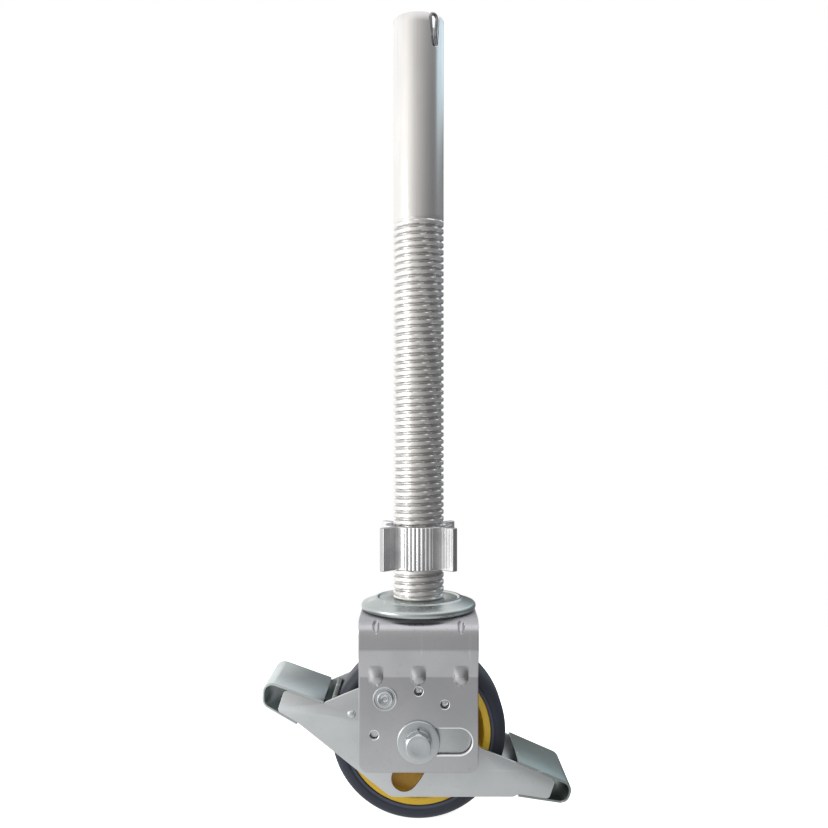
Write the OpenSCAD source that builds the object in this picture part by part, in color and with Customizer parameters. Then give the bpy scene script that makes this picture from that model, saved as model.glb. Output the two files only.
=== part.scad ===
// Scaffold castor: braked wheel in a folded fork, ball swivel head, adjustable screw leg.
// The origin is on the swivel axis at the leg's top end, +Z up, lengths in millimetres.

/* [Wheel] */
// Diameter over the tread
wheel_d = 125; // [118:1:128]
// Width of the tyre
tyre_w = 34; // [30:1:38]
// Radial thickness of the tyre
tyre_t = 11; // [8:0.5:14]
// Radius of the tyre's shoulders
shoulder_r = 7; // [4:0.5:9]
// Radius of the hub
hub_r = 21; // [19:0.5:24]
// Length of the hub and of the bearing stack
hub_w = 38; // [36:1:44]
// Thickness of the disc between hub and rim
web_t = 9; // [6:0.5:12]
// Thickness of the core's rim under the tyre
rim_t = 5; // [4:0.5:7]
// Outer radius of each wheel bearing
bearing_r = 16; // [15:0.5:17]
// Width of each wheel bearing
bearing_w = 10; // [9:0.5:11]

/* [Axle] */
// Diameter of the axle bolt
axle_d = 12; // [11:0.5:13]
// Diameter of the bushes that slide in the slots
bush_d = 18; // [17.5:0.1:19]
// How far the axle moves from under the leg to its trailing place
axle_travel = 27; // [22:0.5:28]
// Width across the flats of the bolt head and the nut
axle_af = 17; // [17:0.5:19]
// Height of the bolt head
axle_head_h = 7.5; // [6:0.5:9]
// Height of the lock nut
axle_nut_h = 10; // [8:0.5:12]
// Radius of the flat washers
washer_r = 15; // [13:0.5:16]
// Thickness of the flat washers
washer_t = 2; // [1.5:0.25:2.5]
// Thickness of the spring washer
spring_washer_t = 2.5; // [2:0.25:3]

/* [Fork] */
// Thickness of the folded sheet
fork_t = 2.5; // [2:0.25:3]
// Length of the fork along X
fork_w = 83; // [80:1:90]
// Outside width over the lower side plates
fork_leg_w = 68.8; // [66:0.2:74]
// Outside width over the crown
crown_w = 80; // [76:1:86]
// Height of the crown's top face over the axle
fork_rise = 85; // [84:1:90]
// Height over the axle where the taper meets the crown
taper_top = 64.8; // [62:0.2:68]
// Height over the axle where the taper meets the side plates
taper_low = 45.2; // [43:0.2:48]
// Depth of the side plates below the axle
skirt = 21.5; // [17:0.5:22]
// Radius of the skirt's corners
skirt_r = 7; // [4:0.5:9]
// Bend radius at the top, to the middle of the sheet
crown_bend = 9; // [7:0.5:10]
// Bend radius of the taper, to the middle of the sheet
taper_bend = 8; // [6:0.5:10]
// Radius of the pressed ribs over the taper's lower bend
rib_r = 3.6; // [3:0.1:4.2]
// Distance between neighbouring ribs
rib_pitch = 29.5; // [27:0.5:31]
// Radius of the detent and drain holes
detent_r = 3.2; // [3:0.1:3.5]
// Radius of the pressed ring round each rivet
rivet_ring_r = 8.6; // [8.2:0.1:9.5]

/* [Rocker brake] */
// Place of the rocker's pivot along X, from the axle
pivot_x = -23.2; // [-24.5:0.1:-22.5]
// Height of the rocker's pivot over the axle
pivot_z = 30; // [29.5:0.1:31]
// Angle from locked to released
throw = 46; // [43:0.5:47]
// Thickness of the rocker's side plates
lever_t = 2.5; // [2:0.25:3]
// Gap between each rocker plate and the fork
lever_gap = 1.5; // [1.2:0.1:1.8]
// Thickness of the pedal strips and the brake shoe
strip_t = 1.6; // [1.4:0.1:2]
// Radius of the pedal noses, to the middle of the strip
nose_r = 6; // [5:0.5:7]
// Direction of the brake shoe's contact from the axle
shoe_angle = 165; // [163:0.5:168]
// Length of the brake shoe's pad
shoe_l = 22; // [16:1:24]
// Radius of the rivets
rivet_r = 4; // [3.5:0.25:4.5]
// Radius of the rivet heads
rivet_head_r = 6.4; // [5.8:0.1:7]
// Height of the rivet heads
rivet_head_h = 2.2; // [1.8:0.1:2.6]
// Height of the detent dimples
dimple_h = 1.1; // [0.8:0.1:1.1]

/* [Swivel head] */
// How far the bearing cap stands out past each end of the fork
cap_over = 0.5; // [0:0.25:2]
// Thickness of the bearing cap
cap_t = 3; // [2.5:0.25:3.5]
// Depth of the cap's middle below its ridge
cap_dish = 1.5; // [1:0.25:2]
// Height of the cap's skirt
cap_skirt = 7; // [5:0.5:7.5]
// From the cap's edge in to the circle of the upper balls
race_inset = 13; // [12:0.5:15]
// Diameter of the upper balls
ball_d = 9.5; // [9:0.5:10]
// Depth of the ball grooves
race_groove = 1; // [0.8:0.1:1.2]
// Radius of the lower ball circle
lower_race_r = 17; // [16:0.5:18]
// Diameter of the lower balls
lower_ball_d = 6; // [5.5:0.5:6.5]
// Thickness of the lower cup
cup_t = 2.5; // [2:0.25:3]
// Diameter of the kingbolt
kingbolt_d = 14; // [12:0.5:16]
// Width across the flats of the kingbolt's head
kingbolt_af = 22; // [20:1:26]
// Height of the kingbolt's head
kingbolt_head_h = 8; // [7:0.5:9]
// How deep the kingbolt reaches into the leg
kingbolt_grip = 34; // [28:1:40]

/* [Leg] */
// Outside diameter of the leg
leg_d = 36.7; // [36:0.1:38.2]
// Wall of the leg under the thread's crests
leg_wall = 4.5; // [4:0.25:5.5]
// Length of the leg
leg_len = 419.5; // [400:0.5:440]
// Length of the plain spigot above the thread
spigot_len = 145; // [130:1:160]
// Pitch of the thread
thread_pitch = 5.1; // [5:0.1:6]
// Depth of the thread
thread_depth = 1.9; // [1.2:0.1:2.1]
// Length of the plug in the leg's foot
plug_len = 45; // [42:1:55]

/* [Collar nut] */
// Height of the nut
nut_h = 30.6; // [26:0.2:34]
// Radius of the nut's barrel
barrel_r = 23.8; // [23:0.2:25]
// Radius over the wings
wing_r = 37; // [33:0.5:40]
// Thickness of a wing
wing_t = 4.4; // [4:0.1:5]
// Radius of the flutes
flute_r = 1.3; // [1:0.1:1.4]
// Angle between neighbouring flutes
flute_step = 7.2; // [7:0.1:8.5]
// Height of the nut's lower face over the cap's middle
nut_lift = 22.5; // [10:0.5:120]

/* [Retaining clip] */
// Diameter of the spring wire
wire_d = 2.4; // [2:0.1:2.6]
// Width over the clip's loop
loop_w = 8.5; // [8:0.1:9.5]
// Height of the clip's loop
loop_h = 23.5; // [20:0.5:26]
// How far the loop stands over the leg's rim
loop_proud = 1.5; // [0.5:0.1:2]
// Direction of the clip round the leg, from +X
clip_angle = -50; // [-60:1:-40]

/* [Hidden] */
$fn = 64;
run_gap = 0.15; // between a bush and its slot
turn_gap = 0.05; // between a ball or shaft and what it turns in
seat_gap = 0.3; // between parts of different bodies that only pass each other

wheel_r = wheel_d / 2;
leg_r = leg_d / 2;
leg_bore_r = leg_r - leg_wall;
axle_r = axle_d / 2;
bush_r = bush_d / 2;
slot_r = bush_r + run_gap;
kingbolt_r = kingbolt_d / 2;
cap_r = fork_w / 2 + cap_over;
race_r = min(cap_r, crown_w / 2 + 2) - race_inset;

// Heights, from the leg's foot down to the floor
head_h = ball_d - 2 * race_groove + cap_t - cap_dish;
foot_z = -leg_len;
fork_top_z = foot_z - head_h;
fork_under_z = fork_top_z - fork_t;
axle_z = fork_top_z - fork_rise;
ridge_z = foot_z + cap_dish;
ball_z = fork_top_z - race_groove + ball_d / 2;
lower_ball_z = fork_under_z + race_groove / 2 - lower_ball_d / 2;
cup_floor_z = lower_ball_z - lower_ball_d / 2 + race_groove;
cup_low_z = cup_floor_z - cup_t;
thread_top_z = -spigot_len;

// Stations across the fork, from the middle plane outwards
fork_out = fork_leg_w / 2;
fork_in = fork_out - fork_t;
lever_out = fork_in - lever_gap;
lever_in = lever_out - lever_t;
hub_end = hub_w / 2;
bush_end = fork_out + run_gap;
washer_end = bush_end + washer_t;
spring_end = washer_end + spring_washer_t;

// Rocker points in the plane of the wheel, from the axle: x along X, y up
pivot = [pivot_x, pivot_z];
left_notch = [-66.3, 26.4];
left_nose = [[-108.2, 41.5], [-108.2, 24.8]];
left_heel = [-84.6, 11.2];
right_notch = [68.9, -15.2];
right_nose = [[107.2, -31.8], [103, -43.8]];
right_heel = [69.6, -38.8];
lever_low = -39.7;
lever_low_x = -19.5;
lever_top = 12.6;
lever_brow = [26, 30];
lever_root = [42.8, -5.5];

// Detent holes of the fork: two show the locked rocker's dimples, the third the released one's
locked_holes = [[0, 34.9], [18.2, 25.8]];
released_hole = [-30.8, 4.7];
released_dimple = turned(released_hole, -throw, pivot);
dimple_r = detent_r - 0.3;

// Plane geometry
function unit(v) = v / norm(v);
function left_of(v) = [-v[1], v[0]];
function along(a, b, d) = a + unit(b - a) * d;
function turned(p, angle, c) =
    let (v = p - c)
    c + [v[0] * cos(angle) - v[1] * sin(angle), v[0] * sin(angle) + v[1] * cos(angle)];
function flip(points) = [for (i = [len(points) - 1:-1:0]) points[i]];

// Points of a round corner of radius r at b, between a and c, in the plane or in space
function corner(a, b, c, r, steps = 8) =
    let (
        u = unit(a - b),
        w = unit(c - b),
        half = acos(u * w) / 2,
        turn = 180 - 2 * half,
        centre = b + unit(u + w) * r / sin(half),
        start = b + u * r / tan(half) - centre,
        end = b + w * r / tan(half) - centre
    )
    r == 0 ? [b] : [
        for (i = [0:steps])
            centre + (start * sin(turn * (1 - i / steps)) + end * sin(turn * i / steps)) / sin(turn)
    ];

// A path with its inner corners rounded
function rounded_path(p, r) = [
    p[0],
    for (i = [1:len(p) - 2]) each corner(p[i - 1], p[i], p[i + 1], r[i - 1]),
    p[len(p) - 1]
];

// A closed outline with its corners rounded
function rounded_outline(p, r) = [
    for (i = [0:len(p) - 1])
        each corner(p[(i + len(p) - 1) % len(p)], p[i], p[(i + 1) % len(p)], r[i])
];

// The path moved sideways by d, to its left where d is positive
function beside(p, d) = [
    for (i = [0:len(p) - 1])
        let (
            before = unit(p[max(i, 1)] - p[max(i, 1) - 1]),
            after = unit(p[min(i + 1, len(p) - 1)] - p[min(i + 1, len(p) - 1) - 1]),
            mid = unit(before + after)
        )
        p[i] + left_of(mid) * d / (mid * before)
];

// The section of a sheet of thickness t that is folded along a path
module sheet_section(p, r, t) {
    middle = rounded_path(p, r);
    polygon(concat(beside(middle, t / 2), flip(beside(middle, -t / 2))));
}

// Stands a drawing in the plane of the wheel upright, from y0 to y1 across the fork
module across(y0, y1) {
    translate([0, y1, axle_z]) rotate([90, 0, 0]) linear_extrude(y1 - y0) children();
}

// A turned part on the axle, whose profile is drawn as radius and distance along Y
module on_axle() {
    translate([0, 0, axle_z]) rotate([90, 0, 0]) rotate_extrude() children();
}

// A flat ring between two radii and two stations
module band(r0, r1, y0, y1) {
    translate([r0, y0]) square([r1 - r0, y1 - y0]);
}

// A ring of balls
module ball_ring(r, d, count) {
    for (i = [0:count - 1]) rotate(360 * i / count) translate([r, 0, 0]) sphere(d = d - 2 * turn_gap);
}

// How many balls fill a ring, less the room of one
function ball_count(r, d) = floor(PI * 2 * r / d) - 1;

// A pressed dimple: a dome of radius r and height h, with a short foot below the surface
module dimple(r, h) {
    foot = 0.5;
    sunk = 0.1;
    rotate_extrude($fn = 48) polygon(concat(
        [[0, -foot], [r, -foot]],
        [for (a = [0:15:90]) [r * cos(a), (h + sunk) * sin(a) - sunk]]
    ));
}

// Leg

// Section of the leg's wall: plain spigot, rolled rings down to the foot
module leg_section() {
    rings = floor((leg_len - spigot_len - 3) / thread_pitch);
    root_r = leg_r - thread_depth;
    flat = thread_pitch * 0.28;
    flank = thread_pitch * 0.22;
    ring_z = function (i) thread_top_z - i * thread_pitch;
    polygon(concat(
        [[leg_bore_r, 0], [leg_r, 0]],
        [for (i = [0:rings - 1]) each [
            [leg_r, ring_z(i)],
            [root_r, ring_z(i) - flank],
            [root_r, ring_z(i) - flank - flat],
            [leg_r, ring_z(i) - 2 * flank - flat]
        ]],
        [[leg_r, foot_z + 1], [leg_r - 1, foot_z], [leg_bore_r, foot_z]]
    ));
}

// Heights of the clip: the arch's centre, where the strands turn in, and the slot's foot
arch_r = (loop_w - wire_d) / 2;
arch_z = loop_proud - wire_d / 2 - arch_r;
turn_in_z = loop_proud - loop_h + wire_d / 2;
strand_foot = wire_d / 2 + 0.1;
clip_out = sqrt(pow(leg_r - wire_d / 2 - 0.1, 2) - arch_r * arch_r);
notch_gap = 0.5;

// The slot for the clip: as wide as the loop at the rim, round at its foot
module clip_notch() {
    foot_r = strand_foot + wire_d / 2 + notch_gap;
    rim_half = loop_w / 2 + notch_gap;
    rotate([0, 0, clip_angle + 90]) rotate([90, 0, 0])
        translate([0, 0, leg_bore_r - 2]) linear_extrude(leg_wall + 4) {
            polygon([[-foot_r, turn_in_z], [foot_r, turn_in_z], [rim_half, arch_z], [rim_half, 2],
                [-rim_half, 2], [-rim_half, arch_z]]);
            translate([0, turn_in_z]) circle(foot_r);
        }
}

module leg_tube() {
    color([0.78, 0.79, 0.8]) difference() {
        rotate_extrude($fn = 96) leg_section();
        clip_notch();
    }
}

// Steel plug pressed into the leg's foot, bored for the kingbolt
module leg_plug() {
    color([0.6, 0.62, 0.64]) translate([0, 0, foot_z]) difference() {
        cylinder(h = plug_len, r = leg_bore_r);
        translate([0, 0, -1]) cylinder(h = kingbolt_grip + 2, r = kingbolt_r);
    }
}

// Bent from one wire: arch, two strands, both turned in and down behind the wall
module retaining_clip() {
    wire_r = wire_d / 2;
    hook_in = clip_out - leg_bore_r + wire_r + 1.9;
    hook_h = 10;
    half = function (side) [
        [side * strand_foot, hook_in, turn_in_z - hook_h],
        [side * strand_foot, hook_in, turn_in_z],
        [side * strand_foot, 0, turn_in_z],
        [side * arch_r, 0, arch_z]
    ];
    arch = [for (a = [180:-20:0]) [arch_r * cos(a), 0, arch_z + arch_r * sin(a)]];
    bends = [1.6, 1.6];
    path = concat(
        rounded_path(half(-1), bends),
        [for (i = [1:len(arch) - 2]) arch[i]],
        flip(rounded_path(half(1), bends))
    );
    color([0.35, 0.36, 0.37]) rotate([0, 0, clip_angle + 90]) translate([0, -clip_out, 0]) wire(path, wire_r);
}

// A round wire swept along a path in space, as a polyhedron with its ends closed
module wire(path, r, sides = 12) {
    n = len(path);
    tangents = [for (i = [0:n - 1]) unit(unit(path[min(i + 1, n - 1)] - path[min(i, n - 2)])
        + unit(path[max(i, 1)] - path[max(i - 1, 0)]))];
    side_of = [for (i = 0, v = [1, 0, 0]; i < n;
        i = i + 1, v = i < n ? unit(v - tangents[i] * (v * tangents[i])) : v) v];
    points = [for (i = [0:n - 1], k = [0:sides - 1])
        let (a = 360 * k / sides, across = cross(tangents[i], side_of[i]))
        path[i] + r * (side_of[i] * cos(a) + across * sin(a))];
    walls = [for (i = [0:n - 2], k = [0:sides - 1])
        let (a = i * sides + k, b = i * sides + (k + 1) % sides) [a, a + sides, b + sides, b]];
    ends = [[for (k = [0:sides - 1]) k], [for (k = [sides - 1:-1:0]) (n - 1) * sides + k]];
    polyhedron(points, concat(walls, ends));
}

// Collar nut, an extruded section cut to length: barrel, four wings, fluted grips between them
module leg_nut() {
    bore_r = leg_r + seat_gap;
    nut_z = foot_z + nut_lift;
    flute_at = barrel_r - flute_r / 3;
    color([0.8, 0.81, 0.82]) translate([0, 0, nut_z]) difference() {
        linear_extrude(nut_h) {
            circle(barrel_r);
            for (wing = [45:90:315]) rotate(wing) {
                translate([barrel_r - 3, -wing_t / 2]) square([wing_r - barrel_r + 3 - wing_t / 2, wing_t]);
                translate([wing_r - wing_t / 2, 0]) circle(d = wing_t);
            }
            for (side = [0:90:270], i = [-4:4]) rotate(side + i * flute_step)
                translate([flute_at, 0]) circle(flute_r, $fn = 24);
        }
        translate([0, 0, -1]) cylinder(h = nut_h + 2, r = bore_r);
        for (z = [-0.01, nut_h - 1]) translate([0, 0, z])
            cylinder(h = 1.01, r1 = bore_r + (z < 0 ? 1.2 : 0), r2 = bore_r + (z < 0 ? 0 : 1.2));
    }
}

// Swivel head

// Pressed cap: flat middle under the leg, ridge over the balls, sloping skirt with a turned-in lip
module bearing_cap() {
    middle_z = foot_z - cap_t / 2;
    crest_z = ridge_z - cap_t / 2;
    rim_round = 0.6; // what the rim's bend takes off the cap's radius
    rim_x = cap_r - cap_t / 2 + rim_round;
    path = [
        [kingbolt_r, middle_z],
        [race_r - 8, middle_z],
        [race_r - 5, crest_z],
        [race_r + 5.5, crest_z],
        [rim_x, crest_z - cap_skirt * 0.6],
        [rim_x - 1.5, crest_z - cap_skirt]
    ];
    color([0.55, 0.58, 0.57]) difference() {
        rotate_extrude($fn = 128) sheet_section(path, [3, 3, 6, 2], cap_t);
        rotate_extrude($fn = 96) translate([race_r, ball_z]) circle(d = ball_d);
    }
}

module upper_balls() {
    color([0.7, 0.7, 0.72]) translate([0, 0, ball_z]) ball_ring(race_r, ball_d, ball_count(race_r, ball_d));
}

module lower_balls() {
    color([0.7, 0.7, 0.72]) translate([0, 0, lower_ball_z])
        ball_ring(lower_race_r, lower_ball_d, ball_count(lower_race_r, lower_ball_d));
}

// Turned cup that holds the lower balls up against the crown
module lower_cup() {
    wall = 3;
    inner = lower_race_r + lower_ball_d / 2 + 1;
    color([0.6, 0.62, 0.64]) difference() {
        translate([0, 0, cup_low_z]) cylinder(h = fork_under_z - seat_gap - cup_low_z, r = inner + wall);
        translate([0, 0, cup_floor_z]) cylinder(h = 20, r = inner);
        translate([0, 0, cup_low_z - 1]) cylinder(h = 20, r = kingbolt_r);
        rotate_extrude($fn = 96) translate([lower_race_r, lower_ball_z]) circle(d = lower_ball_d);
    }
}

// Holds the whole head together, from under the crown up into the leg's plug
module kingbolt() {
    color([0.6, 0.62, 0.64]) {
        translate([0, 0, cup_low_z]) cylinder(h = foot_z + kingbolt_grip - cup_low_z, r = kingbolt_r);
        translate([0, 0, cup_low_z - kingbolt_head_h])
            cylinder(h = kingbolt_head_h, d = kingbolt_af / cos(30), $fn = 6);
    }
}

// Spacer between the cup and the cap, so that the bolt can be tight while the fork turns
module swivel_sleeve() {
    color([0.6, 0.62, 0.64]) translate([0, 0, cup_floor_z]) difference() {
        cylinder(h = foot_z - cap_t - cup_floor_z, r = kingbolt_r + 2.5);
        translate([0, 0, -1]) cylinder(h = 60, r = kingbolt_r);
    }
}

// Fork

// Half width of the folded sheet's middle, from the foot up, and the fold's bend radii
fork_path = [
    [fork_out - fork_t / 2, -skirt],
    [fork_out - fork_t / 2, taper_low],
    [(crown_w - fork_t) / 2, taper_top],
    [(crown_w - fork_t) / 2, fork_rise - fork_t / 2]
];
function mirrored(p) = [-p[0], p[1]];
fork_fold = concat(fork_path, [for (p = flip(fork_path)) mirrored(p)]);
fork_bends = [taper_bend, taper_bend, crown_bend, crown_bend, taper_bend, taper_bend];

// One pressed rib over the lower bend of the taper, solid or as the hollow behind it
module rib(x, r) {
    lean = atan((crown_w - fork_leg_w) / 2 / (taper_top - taper_low)) / 2;
    for (side = [0, 180]) rotate(side) translate([x, -fork_out + 1.4, taper_low])
        rotate([lean, 0, 0]) {
            translate([0, 0, -7]) cylinder(h = 14, r = r);
            for (z = [-7, 7]) translate([0, 0, z]) sphere(r);
        }
}

module fork_blank() {
    rotate([90, 0, 90]) translate([0, 0, -fork_w / 2]) linear_extrude(fork_w)
        sheet_section(fork_fold, fork_bends, fork_t);
}

// Everything inside the fork that the ribs must stay out of
module fork_well() {
    middle = rounded_path(fork_fold, fork_bends);
    rotate([90, 0, 90]) translate([0, 0, -fork_w]) linear_extrude(2 * fork_w)
        polygon(beside(middle, fork_t / 2 + 0.01));
}

module fork() {
    color([0.72, 0.73, 0.75]) translate([0, 0, axle_z]) difference() {
        union() {
            fork_blank();
            difference() {
                for (i = [-1:1]) rib(i * rib_pitch, rib_r);
                fork_well();
            }
            for (side = [-1, 1]) plate_at(pivot, side, fork_out - 1) cylinder(h = 1.5, r = rivet_ring_r);
        }
        for (i = [-1:1]) rib(i * rib_pitch, rib_r - 1.6);
        for (side = [-1, 1]) {
            plate_at(pivot, side, fork_out) cylinder(h = 1.5, r = rivet_ring_r - 1.2);
            for (p = concat(locked_holes, [released_hole]))
                plate_at(p, side, fork_in - 1) cylinder(h = fork_t + 2, r = detent_r);
            plate_at(pivot, side, fork_in - 1) cylinder(h = fork_t + 2, r = rivet_r);
            for (x = [0, axle_travel + 1]) plate_at([x, 0], side, fork_in - 1)
                cylinder(h = fork_t + 2, r = slot_r);
        }
        translate([0, -fork_out - 1, -slot_r]) cube([axle_travel + 1, fork_leg_w + 2, 2 * slot_r]);
        for (side = [-1, 1]) skirt_corner(side);
        translate([0, 0, fork_rise - fork_t - 1]) cylinder(h = 10, r = kingbolt_r + 2.5 + seat_gap);
        translate([0, 0, ball_z - axle_z]) rotate_extrude($fn = 96) translate([race_r, 0]) circle(d = ball_d);
        translate([0, 0, lower_ball_z - axle_z])
            rotate_extrude($fn = 96) translate([lower_race_r, 0]) circle(d = lower_ball_d);
    }
}

// Puts children on a side plate at point p, pointing outwards from the given distance
module plate_at(p, side, y) {
    translate([p[0], side * y, p[1]]) rotate([side < 0 ? 90 : -90, 0, 0]) children();
}

// What the round corner takes off one end of both skirts
module skirt_corner(side) {
    difference() {
        translate([side * fork_w / 2 - (side > 0 ? skirt_r : 1), -fork_out - 1, -skirt - 1])
            cube([skirt_r + 1, fork_leg_w + 2, skirt_r + 1]);
        translate([side * (fork_w / 2 - skirt_r), fork_out + 2, skirt_r - skirt])
            rotate([90, 0, 0]) cylinder(h = fork_leg_w + 4, r = skirt_r);
    }
}

// Rocker brake

// The axle's path as the rocker sees it: it turns about the pivot while the axle slides
cam_path = [for (i = [0:24]) turned([axle_travel * i / 24, 0], -throw * i / 24, pivot)];

// Half round end of a slot at point p, turned from the left of direction v to its right
function slot_end(p, v, r) = [
    for (a = [75:-15:-75]) p + r * (left_of(v) * sin(a) + v * cos(a))
];

module cam_slot() {
    last = len(cam_path) - 1;
    polygon(concat(
        beside(cam_path, slot_r),
        slot_end(cam_path[last], unit(cam_path[last] - cam_path[last - 1]), slot_r),
        flip(beside(cam_path, -slot_r)),
        slot_end(cam_path[0], unit(cam_path[0] - cam_path[1]), slot_r)
    ));
}

// Points on a pedal strip's inner face, d along it from a
function strip_seat(a, b, d, side) = along(a, b, d) + left_of(unit(b - a)) * side * strip_t / 2;

// Outline of a rocker plate: its tips fill the pedals, its middle covers pivot and slot
lever_outline = [
    strip_seat(left_notch, left_nose[0], 0, 1),
    strip_seat(left_notch, left_nose[0], 28.5, 1),
    strip_seat(left_heel, left_nose[1], 16.5, -1),
    strip_seat(left_heel, left_nose[1], 0, -1),
    [lever_low_x, lever_low],
    [66, lever_low],
    strip_seat(right_heel, right_nose[1], 0, 1),
    strip_seat(right_heel, right_nose[1], 21.5, 1),
    strip_seat(right_notch, right_nose[0], 29.5, -1),
    strip_seat(right_notch, right_nose[0], 0, -1),
    lever_root,
    lever_brow,
    [-2, pivot[1] + lever_top],
    [-26, pivot[1] + lever_top]
];
lever_corners = [1, 3, 3, 1, 8, 0, 0, 3, 3, 1, 6, 10, 8, 10];

module lever_plate(side) {
    color([0.76, 0.77, 0.79]) {
        difference() {
            across(side < 0 ? -lever_out : lever_in, side < 0 ? -lever_in : lever_out) difference() {
                polygon(rounded_outline(lever_outline, lever_corners));
                cam_slot();
            }
            lever_at(pivot, side, lever_in - 1) cylinder(h = lever_t + 2, r = rivet_r + turn_gap);
            for (p = concat(locked_holes, [released_dimple]))
                lever_at(p, side, lever_in) dimple(dimple_r - 0.8, dimple_h);
        }
        for (p = concat(locked_holes, [released_dimple])) lever_at(p, side, lever_out) dimple(dimple_r, dimple_h);
    }
}

module lever_at(p, side, y) {
    translate([0, 0, axle_z]) plate_at(p, side, y) children();
}

module lever_plate_front() {
    lever_plate(-1);
}

module lever_plate_rear() {
    lever_plate(1);
}

// A pedal: one strip bent round its nose, over and under the tips of both rocker plates
module pedal(notch, nose, heel) {
    across(-lever_out, lever_out) sheet_section([notch, nose[0], nose[1], heel], [nose_r, nose_r], strip_t);
}

module release_pedal() {
    color([0.63, 0.66, 0.66]) pedal(left_notch, left_nose, left_heel);
}

module lock_pedal() {
    color([0.44, 0.47, 0.46]) pedal(right_notch, right_nose, right_heel);
}

// Pad that bears on the tread when the brake is on, and the flange that stiffens it
module brake_shoe() {
    t = 2 * strip_t;
    out = [cos(shoe_angle), sin(shoe_angle)];
    tangent = left_of(out);
    pad_mid = out * (wheel_r + seat_gap + t / 2);
    path = [
        pad_mid - tangent * shoe_l / 2,
        pad_mid + tangent * shoe_l / 2,
        pad_mid + tangent * (shoe_l / 2 - 3) + out * 14
    ];
    color([0.5, 0.52, 0.53]) across(-lever_in, lever_in) sheet_section(path, [4], t);
}

// Rivet from the fork's outer face to the rocker plate's inner face
module pivot_rivet(side) {
    inner_h = 1.8;
    color([0.66, 0.67, 0.69]) {
        lever_at(pivot, side, lever_in - turn_gap) cylinder(h = fork_out - lever_in + turn_gap, r = rivet_r);
        lever_at(pivot, side, lever_in - turn_gap - inner_h) cylinder(h = inner_h, r = rivet_head_r);
        lever_at(pivot, side, fork_out) cylinder(h = rivet_head_h, r1 = rivet_head_r, r2 = rivet_head_r - 1);
    }
}

module pivot_rivet_front() {
    pivot_rivet(-1);
}

module pivot_rivet_rear() {
    pivot_rivet(1);
}

// Thin washer that keeps a rocker plate off the fork
module pivot_washer(side) {
    color([0.6, 0.62, 0.64]) lever_at(pivot, side, lever_out + turn_gap) difference() {
        cylinder(h = lever_gap - turn_gap, r = rivet_head_r + 1);
        translate([0, 0, -1]) cylinder(h = lever_gap + 2, r = rivet_r);
    }
}

module pivot_washer_front() {
    pivot_washer(-1);
}

module pivot_washer_rear() {
    pivot_washer(1);
}

// Wheel

tyre_in = wheel_r - tyre_t;
core_w = tyre_w - 3;
bead_h = 2;

// Both halves of a turned section, from its points on one side of the middle plane
function whole(half) = concat(half, [for (p = flip(half)) [p[0], -p[1]]]);

// Tyre moulded on the core: round shoulders outside, a bead in the rim's groove inside
module tyre() {
    half = [[tyre_in - bead_h, core_w / 6], [tyre_in, core_w / 6], [tyre_in, core_w / 2],
        [tyre_in + 3, tyre_w / 2], [wheel_r, tyre_w / 2]];
    radii = [0, 0, 0, 1.5, shoulder_r];
    color([0.2, 0.22, 0.27]) on_axle() polygon(rounded_outline(whole(half), concat(radii, flip(radii))));
}

// Moulded core: rim, disc and hub in one, with a seat for a bearing at each end
module wheel_core() {
    half = [
        [bearing_r - 3, hub_end - bearing_w],
        [bearing_r, hub_end - bearing_w],
        [bearing_r, hub_end],
        [hub_r, hub_end],
        [hub_r + 1.5, web_t / 2],
        [tyre_in - rim_t - 1.5, web_t / 2],
        [tyre_in - rim_t, core_w / 2],
        [tyre_in, core_w / 2],
        [tyre_in, core_w / 6],
        [tyre_in - bead_h, core_w / 6]
    ];
    radii = [0, 0, 0, 1, 5, 5, 1, 0, 0, 0];
    color([0.82, 0.66, 0.16]) on_axle() polygon(rounded_outline(whole(half), concat(radii, flip(radii))));
}

// Bearings: both rings of each kind share a node, one at each end of the hub
ring_t = 2.6;
inner_ring_r = axle_r + ring_t;
outer_ring_in = bearing_r - ring_t;
track_r = (outer_ring_in + inner_ring_r) / 2;
bearing_ball_d = (outer_ring_in - inner_ring_r) + 1.2;
bearing_mid = hub_end - bearing_w / 2;

module ball_track() {
    for (side = [-1, 1]) translate([track_r, side * bearing_mid]) circle(d = bearing_ball_d);
}

module bearing_outer_rings() {
    color([0.62, 0.63, 0.65]) on_axle() difference() {
        for (side = [-1, 1]) band(outer_ring_in, bearing_r, side * bearing_mid - bearing_w / 2,
            side * bearing_mid + bearing_w / 2);
        ball_track();
    }
}

module bearing_inner_rings() {
    color([0.62, 0.63, 0.65]) on_axle() difference() {
        for (side = [-1, 1]) band(axle_r, inner_ring_r, side * bearing_mid - bearing_w / 2,
            side * bearing_mid + bearing_w / 2);
        ball_track();
    }
}

module bearing_balls() {
    count = ball_count(track_r, bearing_ball_d) - 1;
    color([0.7, 0.7, 0.72]) for (side = [-1, 1]) translate([0, side * bearing_mid, axle_z])
        rotate([90, 0, 0]) ball_ring(track_r, bearing_ball_d, count);
}

// Axle

// Tube that keeps the two inner rings apart
module hub_spacer() {
    color([0.6, 0.62, 0.64]) on_axle() band(axle_r, axle_r + 2, bearing_w - hub_end, hub_end - bearing_w);
}

// Bush that slides in the fork's slot and the rocker's cam slot, from the bearing to the washer
module slot_bush(side) {
    color([0.6, 0.62, 0.64]) on_axle() scale([1, -side]) {
        band(axle_r, axle_r + 2.2, hub_end, hub_end + 3);
        band(axle_r, bush_r, hub_end + 3, bush_end);
    }
}

module slot_bush_front() {
    slot_bush(-1);
}

module slot_bush_rear() {
    slot_bush(1);
}

module axle_washer(side) {
    color([0.66, 0.67, 0.69]) on_axle() scale([1, -side]) band(axle_r, washer_r, bush_end, washer_end);
}

module axle_washer_front() {
    axle_washer(-1);
}

module axle_washer_rear() {
    axle_washer(1);
}

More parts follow.
